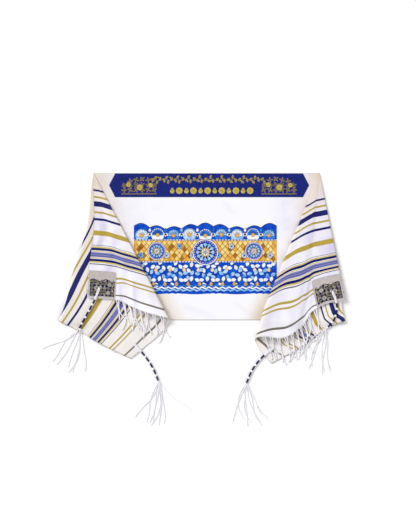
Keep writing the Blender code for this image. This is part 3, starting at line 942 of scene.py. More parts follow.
@dataclass(frozen=True)
class Thread(Dyed):
    """Embroidery thread: close stitches that run across each shape."""

    metallic: float = 0.0
    roughness: float = 0.4
    pitch: float = 0.55 * MM

    def build(self) -> Material:
        """Makes the material: stitches are a sine of the distance along a shape, with painted shade between
        them.
        """
        shader = Shader(self.name, self.roughness, Metallic=self.metallic, Specular_IOR_Level=0.2)
        wander = shader.noise(900.0, 1.0) * (0.6 * self.pitch)
        stitches = (shader.attribute("stitch") + wander).wave(self.pitch)
        # Painted shade: the darker tone lies between the stitches.
        colour = shader.mix(stitches.between(-1.0, 0.6), *self.tones[::-1])
        return shader.finish(colour, stitches, 0.14 * MM)


@dataclass(frozen=True)
class Ink(Dyed):
    """Transfer ink on cloth, a little uneven, as a brushed wash."""

    blobs: float = 55.0
    thread: float = 0.9 * MM

    def build(self) -> Material:
        """Makes the material: a wash of two tones by noise, over a fine weave that shows through."""
        shader = Shader(self.name, 0.75, Specular_IOR_Level=0.08)
        colour = shader.mix(shader.noise(self.blobs, 4.0).between(0.38, 0.62), *self.tones)
        x, y = shader.axes()
        return shader.finish(colour, x.wave(self.thread) * y.wave(self.thread), 0.06 * MM)


@dataclass(frozen=True)
class Yarn(Dyed):
    """Twisted yarn, fuzzy and matt."""

    def build(self) -> Material:
        """Makes the material: fine fibres as noise, and painted shade in the grooves where plies meet."""
        shader = Shader(self.name, 0.85, Sheen_Weight=0.1, Specular_IOR_Level=0.1)
        fibres = shader.noise(2600.0, 2.0)
        tone = shader.mix(fibres.between(0.35, 0.7), *self.tones[::-1])
        # Painted shade: the darker tone deep in the grooves between plies.
        colour = shader.mix(shader.attribute("groove") * 0.35, tone, self.tones[1])
        return shader.finish(colour, fibres)


def dyed(kind: type[Dyed], *rows: tuple) -> list[Material]:
    """Makes a finish of that kind from each row of its fields."""
    return [kind(*row).build() for row in rows]


@dataclass
class ShawlCloth:
    """The whole cloth as one sheet: two folded ends and the flat panel between them."""

    flap_columns: int = 56
    roll_columns: int = 12
    under_columns: int = 40
    back_columns: int = 5
    rows: int = 104
    middle_columns: int = 112
    wall: float = 0.0007

    def columns(self, end: FoldedEnd) -> tuple[np.ndarray, np.ndarray]:
        """The ring's columns: the stretch that each belongs to, and its share of that stretch."""
        inner, outer = end.folds
        far = math.hypot(CUT.width, end.reach)
        start = inner + math.pi / 2 * (CUT.pitch / 2 / far + CUT.inner_spread)
        stop = outer - math.pi / 2 * (CUT.pitch / 2 / far + CUT.outer_spread)
        corner = (math.atan2(CUT.width, end.reach) - start) / (stop - start)
        under = np.linspace(0, 1, self.under_columns + 1)
        under[np.argmin(np.abs(under - corner))] = corner
        shares = [
            np.linspace(0, 1, self.flap_columns + 1), np.linspace(0, 1, self.roll_columns + 1)[1:-1],
            under, np.linspace(0, 1, self.roll_columns + 1)[1:-1],
            np.linspace(0, 1, self.back_columns + 1),
        ]
        stretch = np.concatenate([np.full(len(s), i) for i, s in enumerate(shares)])
        return stretch, np.concatenate(shares)

    def angles(
        self, end: FoldedEnd, stretch: np.ndarray, share: np.ndarray, distance: np.ndarray
    ) -> np.ndarray:
        """The cloth angle of each column at a distance: a roll keeps its own share of the ring."""
        inner, outer = end.folds
        inner_half = math.pi / 2 * (CUT.pitch / 2 / distance + CUT.inner_spread)
        outer_half = math.pi / 2 * (CUT.pitch / 2 / distance + CUT.outer_spread)
        inner_half = np.minimum(inner_half, 0.45 * inner)
        outer_half = np.minimum(outer_half, 0.45 * (math.pi / 2 - outer))
        zero = np.zeros_like(distance)
        rolls = [inner - inner_half, inner + inner_half, outer - outer_half, outer + outer_half]
        edges = np.stack([zero, *rolls, zero + math.pi / 2])
        low, high = (
            np.take_along_axis(edges, np.broadcast_to(stretch + k, distance.shape)[None], 0)[0]
            for k in (0, 1)
        )
        return low + share * (high - low)

    def end_grid(self, end: FoldedEnd) -> tuple[np.ndarray, np.ndarray]:
        """The cloth angles and distances of one end's grid.

        Returns:
            Two arrays, a row for each step out from the corner and a column for each place round it.
        """
        stretch, share = self.columns(end)
        far = np.full(len(share), CUT.width)
        for _ in range(30):
            angle = self.angles(end, stretch, share, far)
            to_end = end.reach / np.maximum(np.cos(angle), 1e-9)
            to_edge = CUT.width / np.maximum(np.sin(angle), 1e-9)
            far = np.minimum(to_end, to_edge)
        steps = np.linspace(0, 1, self.rows)[:, None]
        distance = CUT.notch + (far - CUT.notch) * steps
        return self.angles(end, stretch, share, distance), distance

    def tints(self, end: FoldedEnd, angle: np.ndarray, distance: np.ndarray) -> dict[str, np.ndarray]:
        """How much painted beige shade and painted lavender shade the white gets, from 0 to 1.

        The under layer, the folds and the cloth near the corner point get painted beige shade. The flap
        gets a little painted lavender shade, more near the neck edge and beside the patch and less near
        the hem, and so does the dark side of each crease.
        """
        inner, outer = end.folds
        past, across = distance * np.cos(angle), distance * np.sin(angle)
        under = smooth((angle - inner) * distance / 0.02) * smooth((outer - angle) * distance / 0.02)
        on_flap = smooth((inner - angle) * distance / 0.02)
        fold = bump((angle - inner) * distance, 0.0, 0.020)
        outer_fold = bump((angle - outer) * distance, 0.0, 0.030)
        near_corner = bump(distance, 0.0, 0.15) * (1 - 0.4 * under)
        # Painted beige shade on the under layer, along both folds and near the corner point.
        warm = 0.42 * under + 0.45 * fold + 0.35 * outer_fold + 0.75 * near_corner
        # Painted lavender shade: the dark side of each crease, the flap, its neck edge and the cloth beside
        # the patch.
        dark = sum(c.hill(past, across, 0.9) for c in end.flap_creases) * on_flap
        dark = dark + sum(c.hill(past, across, 0.9) for c in end.under_creases) * under
        near_hem = smooth((0.10 - end.reach + past) / 0.09)
        edge = bump(across, 0.0, 0.060) * (0.25 + 0.45 * (end.side > 0))
        by_patch = bump(across, PATCH.side + 0.020, 0.050) * bump(end.reach - past, 0.055, 0.050)
        cool = on_flap * (0.42 + edge) * (1 - 0.6 * near_hem) + 0.45 * dark * (1 - 0.5 * under)
        cool = cool + 0.45 * by_patch * on_flap
        return {"warm": np.clip(warm, 0, 1), "cool": np.clip(cool, 0, 1)}

    def panel_tints(self, x: np.ndarray, depth: np.ndarray) -> dict[str, np.ndarray]:
        """The panel's painted shade: beige beside each folded end, lavender on its sides and by its few
        creases.
        """
        warm = np.zeros_like(x)
        for end in ENDS:
            out = end.side * x - end.corner_x
            turned = np.arctan2(depth, out) - math.radians(end.flap[-1].lay)
            beside = np.hypot(out, depth) * np.sin(np.clip(turned, -math.pi / 2, math.pi / 2))
            reach = 0.020 + 0.038 * bump(depth, 0.0, 0.12) + 0.020 * bump(depth, 0.5, 0.12)
            # Painted beige shade where each flap shades the panel beside it, strongest near the neck edge and
            # the lower edge.
            ends_shade = 0.34 + 0.50 * (bump(depth, 0.0, 0.13) + bump(depth, 0.52, 0.11))
            warm += ends_shade * np.exp(-((np.maximum(beside, 0) / reach) ** 2))
        sides = smooth((np.abs(x) - 0.20) / 0.12) * (1 - smooth((depth - 0.42) / 0.08))
        # Painted lavender shade on the panel's sides and on the dark side of each crease.
        cool = 0.06 + 0.40 * sides + sum(c.hill(x, depth, 0.9) for c in PANEL_CREASES) * 0.2
        return {"warm": np.clip(warm, 0, 1), "cool": np.clip(cool, 0, 1)}

    @staticmethod
    def print_place(end: FoldedEnd, angle: np.ndarray, distance: np.ndarray) -> np.ndarray:
        """The distance from the short end at which the weave's stripes are read.

        The cloth was pulled askew: by fold_pull at the inner fold, by outer_pull on the outer part of
        the flap, by edge_skew along the lower edge, and towards the hem beside the patch.
        """
        past, across = distance * np.cos(angle), distance * np.sin(angle)
        from_end = end.reach - past
        inner, _ = end.folds
        on_flap = smooth((inner - angle) * distance / 0.03)
        bell = 0.024 + 0.024 * (1 - smooth(from_end / 0.16))
        by_fold = end.fold_pull * np.exp(-(((inner - angle) * distance / bell) ** 2))
        outwards = end.outer_pull * (1 - smooth((np.degrees(angle) - 12) / 28)) * on_flap
        outwards = outwards * smooth((from_end - 0.05) / 0.12)
        beside = bump(across, PATCH.side, 0.045) * bump(from_end, 0.050, 0.065) * on_flap
        beside = end.beside_pull * beside
        askew = end.edge_skew * smooth((across - CUT.width + 0.045) / 0.045) * (angle > inner)
        return from_end + (by_fold + outwards) * smooth(distance / 0.08) + beside - askew

    def build(self, finish: Material) -> Piece:
        """Makes the cloth.

        Args:
            finish: the woven cloth.

        Returns:
            The piece, with along, across, from_end and its painted beige and lavender shade on its points.
        """
        parts = MeshParts()
        for end in ENDS:
            angle, distance = self.end_grid(end)
            parts.add(
                end.surface(angle, distance), grid_faces(*angle.shape, turn=end.side < 0),
                from_end=self.print_place(end, angle, distance), across=distance * np.sin(angle),
                along=end.side * (end.corner_x + distance * np.cos(angle)),
                **self.tints(end, angle, distance),
            )
        depth = np.concatenate([[0.0], CUT.notch + (CUT.width - CUT.notch) * np.linspace(0, 1, self.rows)])
        x = np.linspace(-LEFT_END.corner_x, RIGHT_END.corner_x, self.middle_columns + 1)
        across, x = np.meshgrid(depth, x, indexing="ij")
        parts.add(
            panel_point(x, across, np.full_like(x, CUT.wall / 2)), grid_faces(*x.shape, turn=True),
            from_end=np.full_like(x, LEFT_END.reach), across=across, along=x,
            **self.panel_tints(x, across),
        )
        cloth = parts.to_object("woven_shawl", [finish])
        self.weld(cloth)
        thicken(cloth, self.wall)
        return cloth

    @staticmethod
    def weld(cloth: Piece) -> None:
        """Joins the ends to the panel where their points meet."""
        work = bmesh.new()
        work.from_mesh(cloth.data)
        bmesh.ops.remove_doubles(work, verts=work.verts, dist=2e-5)
        work.to_mesh(cloth.data)
        work.free()


def panel_point(x: np.ndarray, depth: np.ndarray, height: np.ndarray) -> np.ndarray:
    """A point over the back panel, raised by the panel's creases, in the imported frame."""
    raised = height + sum(c.height * c.hill(x, depth) for c in PANEL_CREASES)
    return np.stack([x, CUT.neck_y - depth, raised], -1) + SHIFT


class Ground:
    """What the yarn comes to rest on, seen from above."""

    def __init__(self, pieces: list[Piece]) -> None:
        """Takes in the pieces that lie below."""
        self.trees: list[BVHTree] = []
        for piece in pieces:
            self.add(piece)

    def add(self, piece: Piece) -> None:
        """Takes in one more piece."""
        bpy.context.view_layer.update()
        self.trees.append(BVHTree.FromObject(piece, bpy.context.evaluated_depsgraph_get()))

    def height(self, x: float, y: float) -> float:
        """The highest surface under a point, or the floor."""
        start, down = Vector((x, y, 1.0)), Vector((0, 0, -1))
        hits = [tree.ray_cast(start, down)[0] for tree in self.trees]
        return max([0.0] + [hit.z for hit in hits if hit])

    def along(self, path: np.ndarray, radius: float, spread: float) -> np.ndarray:
        """The resting heights of a strand's middle along a floor path.

        Args:
            path: the floor points.
            radius: the strand's radius.
            spread: how far to each side the ground is felt.

        Returns:
            The heights: the highest ground near each point, smoothed so that the strand bridges.
        """
        around = np.array([[0, 0], [1, 0], [-1, 0], [0, 1], [0, -1]]) * spread
        ground = np.array([max(self.height(*(p + a)) for a in around) for p in path])
        wide = np.maximum.reduce([np.roll(np.pad(ground, 2, mode="edge"), k)[2:-2] for k in (-1, 0, 1)])
        kernel = np.ones(3) / 3
        return np.convolve(np.pad(wide, 1, mode="edge"), kernel, mode="valid") + radius


@dataclass(frozen=True)
class Tube:
    """Yarn carried along a path: its section is a circle with plies that turn round it."""

    radius: float
    sides: int = 8
    plies: int = 3
    ply_depth: float = 0.16
    twist: float = 5.0 * MM
    taper: float = 1.0

    def add(self, parts: MeshParts, path: np.ndarray, slot: int = 0, swell: np.ndarray | None = None) -> None:
        """Adds the tube to a mesh.

        The section's radius is radius * (1 + depth * cos(plies * turn - 2 pi * length / twist)).

        Args:
            parts: where to add it.
            path: the points that it follows.
            slot: the number of its finish.
            swell: a factor on the radius at each point.
        """
        tangent = unit(np.gradient(path, axis=0))
        side = np.cross(tangent, UP)
        short = np.linalg.norm(side, axis=1, keepdims=True)
        side = np.where(short > 1e-6, side / np.maximum(short, 1e-9), [1.0, 0.0, 0.0])
        over = np.cross(side, tangent)
        turn = np.linspace(0, TURN, self.sides, endpoint=False)[None, :]
        ply = np.cos(self.plies * turn - TURN * lengths(path)[:, None] / self.twist)
        radius = self.radius * (1 + self.ply_depth * ply)
        radius = radius * np.linspace(1, self.taper, len(path))[:, None]
        if swell is not None:
            radius = radius * swell[:, None]
        offset = np.cos(turn)[..., None] * side[:, None] + np.sin(turn)[..., None] * over[:, None]
        points = path[:, None] + radius[..., None] * offset
        rows, sides = radius.shape
        # Each point carries its painted ply shade: 1 deep in a groove between plies, 0 on a crest.
        parts.add(points, grid_faces(rows, sides, wrap=True, turn=True), slot, groove=0.5 - 0.5 * ply)
        base = parts.count - rows * sides
        first = base + np.arange(sides)
        parts.join([first, (first + (rows - 1) * sides)[::-1]], slot)


def resample(path: np.ndarray, step: float) -> np.ndarray:
    """A path with its points about one step apart, linear between the given points."""
    length = lengths(path)
    count = max(3, int(round(length[-1] / step)) + 1)
    at = np.linspace(0, length[-1], count)
    return np.stack([np.interp(at, length, path[:, k]) for k in range(path.shape[1])], -1)


def walk(start: np.ndarray, headings: np.ndarray, step: float) -> np.ndarray:
    """The floor points of a path: the start plus the running sum of steps along the headings."""
    steps = on_circle(np.radians(headings)) * step
    return np.vstack([start[:2], start[:2] + np.cumsum(steps, axis=0)])


@dataclass
class Fringe:
    """The fringe of one short end: tassels that are knotted once and part in two legs."""

    pitch: float = 0.031
    knot_at: float = 0.042
    leg_length: float = 0.058
    leg_spread: float = 9.0
    splay: float = 0.0055
    knot_radius: float = 2.6 * MM
    knot_length: float = 5.6 * MM
    yarn: Tube = Tube(2.3 * MM, sides=9, twist=11 * MM)
    hair: Tube = Tube(0.6 * MM, sides=5, plies=2, taper=0.5)
    knot_yarn: Tube = Tube(1.6 * MM, sides=7)
    step: float = 2.2 * MM

    def build(self, end: FoldedEnd, ground: Ground, finish: Material) -> Piece:
        """Makes the fringe of an end, lying on the ground.

        Each neck is two yarns that leave the hem apart and meet in the knot.

        Returns:
            The piece.
        """
        rng = np.random.default_rng(11 + end.side)
        parts = MeshParts()
        inner, _ = end.folds
        far = math.hypot(end.reach, end.reach * math.tan(inner))
        roll = math.pi / 2 * (CUT.pitch / 2 / far + CUT.inner_spread)
        low, high = PATCH.inset + PATCH.side, end.reach * math.tan(inner - roll)
        count = int((high - low) / self.pitch)
        middles = low + (np.arange(count) + 0.5) * (high - low) / count
        for share, middle in zip((middles - low) / (high - low), middles):
            heading = end.fringe_headings[0] * (1 - share) + end.fringe_headings[1] * share
            heading += 3 * math.sin(9 * share) + rng.normal(0, 4.5)
            self.tassel(parts, end, ground, middle, heading, rng)
        return parts.to_object(f"knotted_fringe_{end.name}", [finish])

    def tassel(
        self, parts: MeshParts, end: FoldedEnd, ground: Ground, middle: float, heading: float, rng: Rng
    ) -> None:
        """Adds one tassel: two yarns from the hem to the knot, the knot, and two legs."""
        root = end.from_cloth(np.array(end.reach + 0.001), np.array(middle))
        knot = root[:2] + self.knot_at * rng.uniform(0.72, 1.08) * on_circle(math.radians(heading))
        for way in (-1, 1):
            start = end.from_cloth(np.array(end.reach - 0.002), np.array(middle + way * self.splay))
            floor = np.linspace(start[:2], knot, int(self.knot_at / self.step) + 1)
            self.strand(parts, ground, floor, start[2], self.yarn)
            turn = heading + way * (self.leg_spread + rng.normal(0, 8.0))
            bend = way * rng.uniform(-5, 45) + rng.normal(0, 12.0)
            steps = int(self.leg_length * rng.uniform(0.70, 1.08) / self.step)
            headings = turn + bend * np.linspace(0, 1, steps) ** 1.5
            leg = walk(knot, headings, self.step)
            self.strand(parts, ground, leg, None, self.yarn)
            for fray in (-1, 1):
                tip = headings[-1] + fray * rng.uniform(10, 30)
                split = walk(leg[-3], np.full(7, tip), self.step)
                self.strand(parts, ground, split, None, self.hair)
        level = ground.height(*knot) + 4.0 * MM
        self.knot(parts, np.array([*knot, level]), heading)

    def strand(
        self, parts: MeshParts, ground: Ground, floor: np.ndarray, start: float | None, yarn: Tube
    ) -> None:
        """Adds one yarn along a floor path, falling from its start height onto the ground."""
        heights = ground.along(floor, yarn.radius * (1 + yarn.ply_depth) + 0.15 * MM, 1.5 * MM)
        if start is not None:
            travelled = np.linalg.norm(floor - floor[0], axis=1)
            heights += np.maximum(start - heights, 0) * (1 - smooth(travelled / 0.035))
        yarn.add(parts, np.column_stack([floor, heights]))

    def knot(self, parts: MeshParts, centre: np.ndarray, heading: float) -> None:
        """Adds an overhand knot: a helix of two turns whose axis lies along the heading."""
        turns = np.linspace(0, 2 * TURN, 26)
        ahead, aside = on_circle(np.radians([heading, heading - 90]))
        along = (turns / turns[-1] - 0.5) * self.knot_length
        flat = along[:, None] * ahead + (self.knot_radius * np.cos(turns))[:, None] * aside
        path = np.column_stack([flat, self.knot_radius * np.sin(turns) * 0.8]) + centre
        self.knot_yarn.add(parts, path)


@dataclass
class CornerTassel:
    """A corner tassel: a loop through the eyelet, a wound and knotted stem, and free strands."""

    stem_radius: float = 3.3 * MM
    winding: float = 19.0 * MM
    knot: float = 8.0 * MM
    loop_length: float = 0.040
    loop_radius: float = 2.3 * MM
    loop_bow: float = 2.6 * MM
    free_count: int = 8
    free_length: float = 0.180
    free_radius: float = 1.5 * MM
    free_step: float = 3.0 * MM
    step: float = 1.0 * MM

    def floor_path(self, end: FoldedEnd, lay: TasselLay) -> np.ndarray:
        """The stem's path on the floor: its runs, with their headings smoothed over a few steps."""
        across = PATCH.eyelet_inset if lay.corner is Face.FLAP else CUT.width - PATCH.eyelet_inset
        start = end.from_cloth(np.array(end.reach - PATCH.eyelet_inset), np.array(across))
        headings = np.concatenate([np.full(int(run.length / self.step), run.heading) for run in lay.runs])
        window = 50
        padded = np.pad(headings.astype(float), window, mode="edge")
        headings = np.convolve(padded, np.ones(window) / window, mode="same")[window:-window]
        return walk(start, headings, self.step)

    def build(self, end: FoldedEnd, lay: TasselLay, ground: Ground, finishes: list[Material]) -> Piece:
        """Makes the tassel.

        The stem is cut in short lengths, knots in white and windings in blue by turns. A winding is
        a tube with one ply that turns once in each thread's width.

        Args:
            end: the end of the cloth that it hangs from.
            lay: how it lies.
            ground: what it lies on.
            finishes: the white yarn and the blue yarn.

        Returns:
            The piece.
        """
        rng = np.random.default_rng(31 + len(lay.name) * 7 + end.side)
        parts = MeshParts()
        floor = self.floor_path(end, lay)
        heights = ground.along(floor, self.stem_radius * 1.47, 2.0 * MM)
        path = np.column_stack([floor, heights])
        loop = int(self.loop_length / self.step)
        for way in (-1, 1):
            direction = unit(path[1, :2] - path[0, :2])
            bow = np.sin(np.linspace(0.15, 1, loop) * math.pi) * self.loop_bow * way
            aside = bow[:, None] * np.array([-direction[1], direction[0]])
            strand = path[:loop].copy()
            strand[:, :2] += aside
            strand[:, 2] -= 1.4 * MM
            Tube(self.loop_radius, twist=7 * MM).add(parts, strand)
        at, white = loop - 3, True
        while at < len(path) - 6:
            length = self.knot if white else self.winding
            stop = min(at + int(length / self.step) + 1, len(path))
            part = resample(path[at:stop], 0.33 * MM)
            shape = np.sin(np.linspace(0.12, 0.88, len(part)) * math.pi)
            if white:
                yarn = Tube(self.stem_radius * 1.12, sides=12, plies=2, ply_depth=0.14, twist=3.4 * MM)
                yarn.add(parts, part, 0, 0.72 + 0.42 * shape)
            else:
                yarn = Tube(self.stem_radius * 0.98, sides=12, plies=1, ply_depth=0.13, twist=1.5 * MM)
                yarn.add(parts, part, 1, 0.9 + 0.1 * shape)
            at, white = stop - 1, not white
        last = path[-1]
        share = np.linspace(0.08, 0.92, self.free_count) + rng.normal(0, 0.09, self.free_count)
        fan = lay.fan[1] + (lay.fan[0] - lay.fan[1]) * share
        for i, heading in enumerate(fan):
            steps = int(self.free_length * rng.uniform(0.8, 1.0) / self.free_step)
            bend = lay.curl * rng.uniform(0.2, 1.6) + rng.normal(0, 13)
            along = np.linspace(0, 1, steps)
            wave = rng.uniform(4, 14) * np.sin(along * rng.uniform(4, 8) + rng.uniform(0, 6))
            way = walk(last, heading + bend * along + wave, self.free_step)
            level = ground.along(way, 1.9 * MM + 0.3 * MM * (i % 3), 1.5 * MM)
            travelled = np.linalg.norm(way - way[0], axis=1)
            level += np.maximum(last[2] - level, 0) * (1 - smooth(travelled / 0.03))
            line = resample(np.column_stack([way, level]), 1.5 * MM)
            Tube(self.free_radius, sides=7, plies=2, twist=6 * MM, taper=0.85).add(parts, line)
        return parts.to_object(f"corner_cord_{lay.name}", finishes)


class Motif:
    """The outlines that the ornament is made of, each about one unit long."""

    @staticmethod
    def mirrored(x: np.ndarray, y: np.ndarray) -> np.ndarray:
        """The outline between a line and its mirror image below X, which meet at both ends."""
        return np.vstack([np.stack([x, -y], -1), np.stack([x[-2:0:-1], y[-2:0:-1]], -1)])

    @staticmethod
    def leaf(points: int = 14, width: float = 0.32) -> np.ndarray:
        """A pointed leaf from 0 to 1 on X: the half width is width * sin(pi * x) ^ 0.85."""
        x = np.linspace(0, 1, points)
        return Motif.mirrored(x, width * np.sin(math.pi * x) ** 0.85)

    @staticmethod
    def petal(points: int = 14, width: float = 0.36) -> np.ndarray:
        """A petal, widest past its middle: the half width is width * sin(pi * x ^ 1.7) ^ 0.8."""
        x = np.linspace(0, 1, points)
        return Motif.mirrored(x, width * np.sin(math.pi * x**1.7) ** 0.8)

    @staticmethod
    def disc(points: int = 20) -> np.ndarray:
        """A circle of radius 1."""
        return on_circle(np.linspace(0, TURN, points, endpoint=False))

    @staticmethod
    def star(arms: int, inside: float = 0.55) -> np.ndarray:
        """A star of radius 1, whose hollows reach in to a share of it."""
        turn = np.linspace(0, TURN, 2 * arms, endpoint=False)
        radius = np.where(np.arange(2 * arms) % 2, inside, 1.0)
        return radius[:, None] * on_circle(turn)

    @staticmethod
    def fruit(points: int = 22) -> np.ndarray:
        """A round fruit with a three-pointed crown at +X."""
        body = on_circle(np.linspace(0.42, TURN - 0.42, points)) * 0.8
        crown = np.array([[1.25, -0.42], [1.02, -0.13], [1.32, 0.0], [1.02, 0.13], [1.25, 0.42]])
        return np.vstack([body, crown])


def at_each(x: ArrayLike, y: ArrayLike, turn: ArrayLike, size: ArrayLike) -> np.ndarray:
    """Rows of x, y, turn in degrees and size, where a single number holds for every row."""
    return np.stack(np.broadcast_arrays(x, y, turn, size), -1)


@dataclass
class Ornament:
    """Motifs laid out on a flat plan, each at its level, to be raised on a surface as one mesh.

    The line is the width of the dark edge that outlined() gives a shape, the stem that of a scroll.
    """

    line: float = 0.0011
    dark: int = 0
    stem: float = 0.0013
    shapes: list[tuple[np.ndarray, float, int]] = field(default_factory=list)
    ribbons: list[tuple[np.ndarray, np.ndarray, float, int]] = field(default_factory=list)
    covers: list[tuple[np.ndarray, float, int]] = field(default_factory=list)

    def cover(self, lower: np.ndarray, upper: np.ndarray, rows: int, level: float, ink: int) -> None:
        """Fills the ground between two lines that run to the right, with rows of faces."""
        share = np.linspace(0, 1, rows + 1)[:, None, None]
        self.covers.append((lower + share * (upper - lower), level, ink))

    def stamp(self, outline: np.ndarray, places: ArrayLike, level: float, ink: int) -> None:
        """Puts copies of an outline down.

        Args:
            outline: its points, n by 2.
            places: one row or more of x, y, turn in degrees and size.
            level: its height on the pile of shapes.
            ink: the number of its finish.
        """
        for x, y, turn, size in np.atleast_2d(places):
            c, s = math.cos(math.radians(turn)), math.sin(math.radians(turn))
            moved = size * outline @ np.array([[c, s], [-s, c]]) + (x, y)
            self.shapes.append((moved, level, ink))

    def outlined(self, outline: np.ndarray, places: ArrayLike, level: float, ink: int) -> None:
        """Puts copies down with a dark edge round each: a copy grown about its middle lies below."""
        centre = outline.mean(0)
        for place in np.atleast_2d(places):
            reach = np.linalg.norm(outline - centre, axis=1).mean() * place[3]
            grown = centre + (outline - centre) * (1 + self.line / reach)
            self.stamp(grown, place, level, self.dark)
            self.stamp(outline, place, level + 1, ink)

    def ribbon(self, path: np.ndarray, width: ArrayLike, level: float, ink: int) -> None:
        """Lays a band along a path, of a width at each of its points."""
        widths = np.broadcast_to(np.asarray(width, float), len(path))
        self.ribbons.append((path, widths, level, ink))

    def scroll(
        self, centre: tuple[float, float], radius: float, start: float, way: int, level: float, ink: int
    ) -> None:
        """A stem that curls in: the radius falls as (1 - 0.86 * share) over one and three quarter turns.

        Args:
            centre: its eye.
            radius: its outer radius.
            start: where it begins, in degrees round the eye.
            way: 1 to curl to the left, -1 to the right.
            level: its height on the pile.
            ink: its finish.
        """
        share = np.linspace(0, 1, 26)
        turn = math.radians(start) + way * share * 1.75 * TURN
        reach = radius * (1 - 0.86 * share)
        path = on_circle(turn) * reach[:, None] + centre
        self.ribbon(path, self.stem * (1 - 0.35 * share), level, ink)
        self.stamp(Motif.disc(8), (*centre, 0, radius * 0.2), level + 0.5, ink)

    def vine(
        self, path: np.ndarray, leaf: float, every: int, level: float, inks: Inks, lean: float, edged: bool
    ) -> None:
        """A stem with a leaf to each side by turns.

        Args:
            path: the stem's points.
            leaf: the length of a leaf.
            every: how many points of the path there are from leaf to leaf.
            level: its height on the pile.
            inks: the finishes of the stem and the leaves.
            lean: the angle from the stem to a leaf, in degrees.
            edged: True for a dark edge round each leaf.
        """
        self.ribbon(path, leaf * 0.13, level, inks[0])
        tangent = np.degrees(np.arctan2(*np.gradient(path, axis=0).T[::-1]))
        spots = np.arange(every // 2, len(path) - 1, every)
        ways = np.where(np.arange(len(spots)) % 2, 1, -1)
        places = at_each(*path[spots].T, tangent[spots] + ways * lean, leaf)
        put = self.outlined if edged else self.stamp
        put(Motif.leaf(10), places, level + 0.5, inks[1])

    def flower(
        self, x: float, y: float, radius: float, petals: int, level: float, inks: Inks, turn: float = 0.0
    ) -> None:
        """A rosette of petals with a disc at its heart."""
        angles = turn + np.linspace(0, 360, petals, endpoint=False)
        width = min(0.42, 0.95 * math.tan(math.pi / petals))
        self.stamp(Motif.petal(10, width), at_each(x, y, angles, radius), level, inks[0])
        self.stamp(Motif.disc(12), (x, y, 0, radius * 0.26), level + 1, inks[1])

    def raise_on(self, surface: Surface, step: float, dome: float = 0.0, margin: float = 0.0) -> MeshParts:
        """Lifts the plan onto a surface.

        A flat shape is one face, and a flat ribbon one row of faces. With a dome, the rims lie on
        the surface: a shape rises to its middle in two rings, and a ribbon has a rounded back.

        Args:
            surface: takes plan x, plan y and a height, and gives points.
            step: the height of one level.
            dome: how far a stitched shape is padded up.
            margin: the height of level 0.

        Returns:
            The mesh's parts, with the stitch attribute on its points.
        """
        parts = MeshParts()

        def lift(
            plan: np.ndarray, level: float, rise: ArrayLike, faces: ArrayLike, ink: int, stitch: np.ndarray
        ) -> None:
            """Adds one shape, at its level and with its rise."""
            heights = np.broadcast_to(margin + level * step + rise, plan.shape[:-1])
            parts.add(surface(plan[..., 0], plan[..., 1], heights), faces, ink, stitch=stitch)

        for outline, level, ink in self.shapes:
            n, along = len(outline), outline @ np.array([0.8, 0.6])
            if dome == 0:
                lift(outline, level, 0.0, [list(range(n))], ink, along)
                continue
            middle = outline.mean(0)
            rings = np.stack([outline, *(middle + share * (outline - middle) for share in (0.86, 0.5))])
            rise = dome * np.array([[0.0], [0.7], [1.0]])
            lift(rings, level, rise, grid_faces(3, n, wrap=True), ink, np.tile(along, 3))
            parts.join([parts.count - n + np.arange(n)], ink)
        for plan, level, ink in self.covers:
            lift(plan, level, 0.0, grid_faces(*plan.shape[:2]), ink, plan[..., 0])
        shares = np.array([0.5, 0.36, 0.0, -0.36, -0.5] if dome else [0.5, -0.5])
        rise = dome * np.array([0.0, 0.75, 1.0, 0.75, 0.0] if dome else [0.0, 0.0])
        for path, widths, level, ink in self.ribbons:
            ahead = unit(np.gradient(path, axis=0))
            side = np.stack([-ahead[:, 1], ahead[:, 0]], -1)
            plan = path[:, None] + (widths[:, None] * shares)[..., None] * side[:, None]
            stitch = np.broadcast_to(lengths(path)[:, None], plan.shape[:2])
            lift(plan, level, rise, grid_faces(*plan.shape[:2]), ink, stitch)
        return parts


class PrintInk(IntEnum):
    """The inks of the printed panel."""

    DARK = 0
    COBALT = 1
    SKY = 2
    WHITE = 3
    GOLD = 4
    AMBER = 5
    AZURE = 6
    STRAW = 7


def arc(x0: float, x1: float, points: int, height: float, waves: float, phase: float = 0.0) -> np.ndarray:
    """A waving line from x0 to x1 about y 0: height * sin(2 pi * waves * share + phase)."""
    share = np.linspace(0, 1, points)
    return np.stack([x0 + (x1 - x0) * share, height * np.sin(TURN * waves * share + phase)], -1)


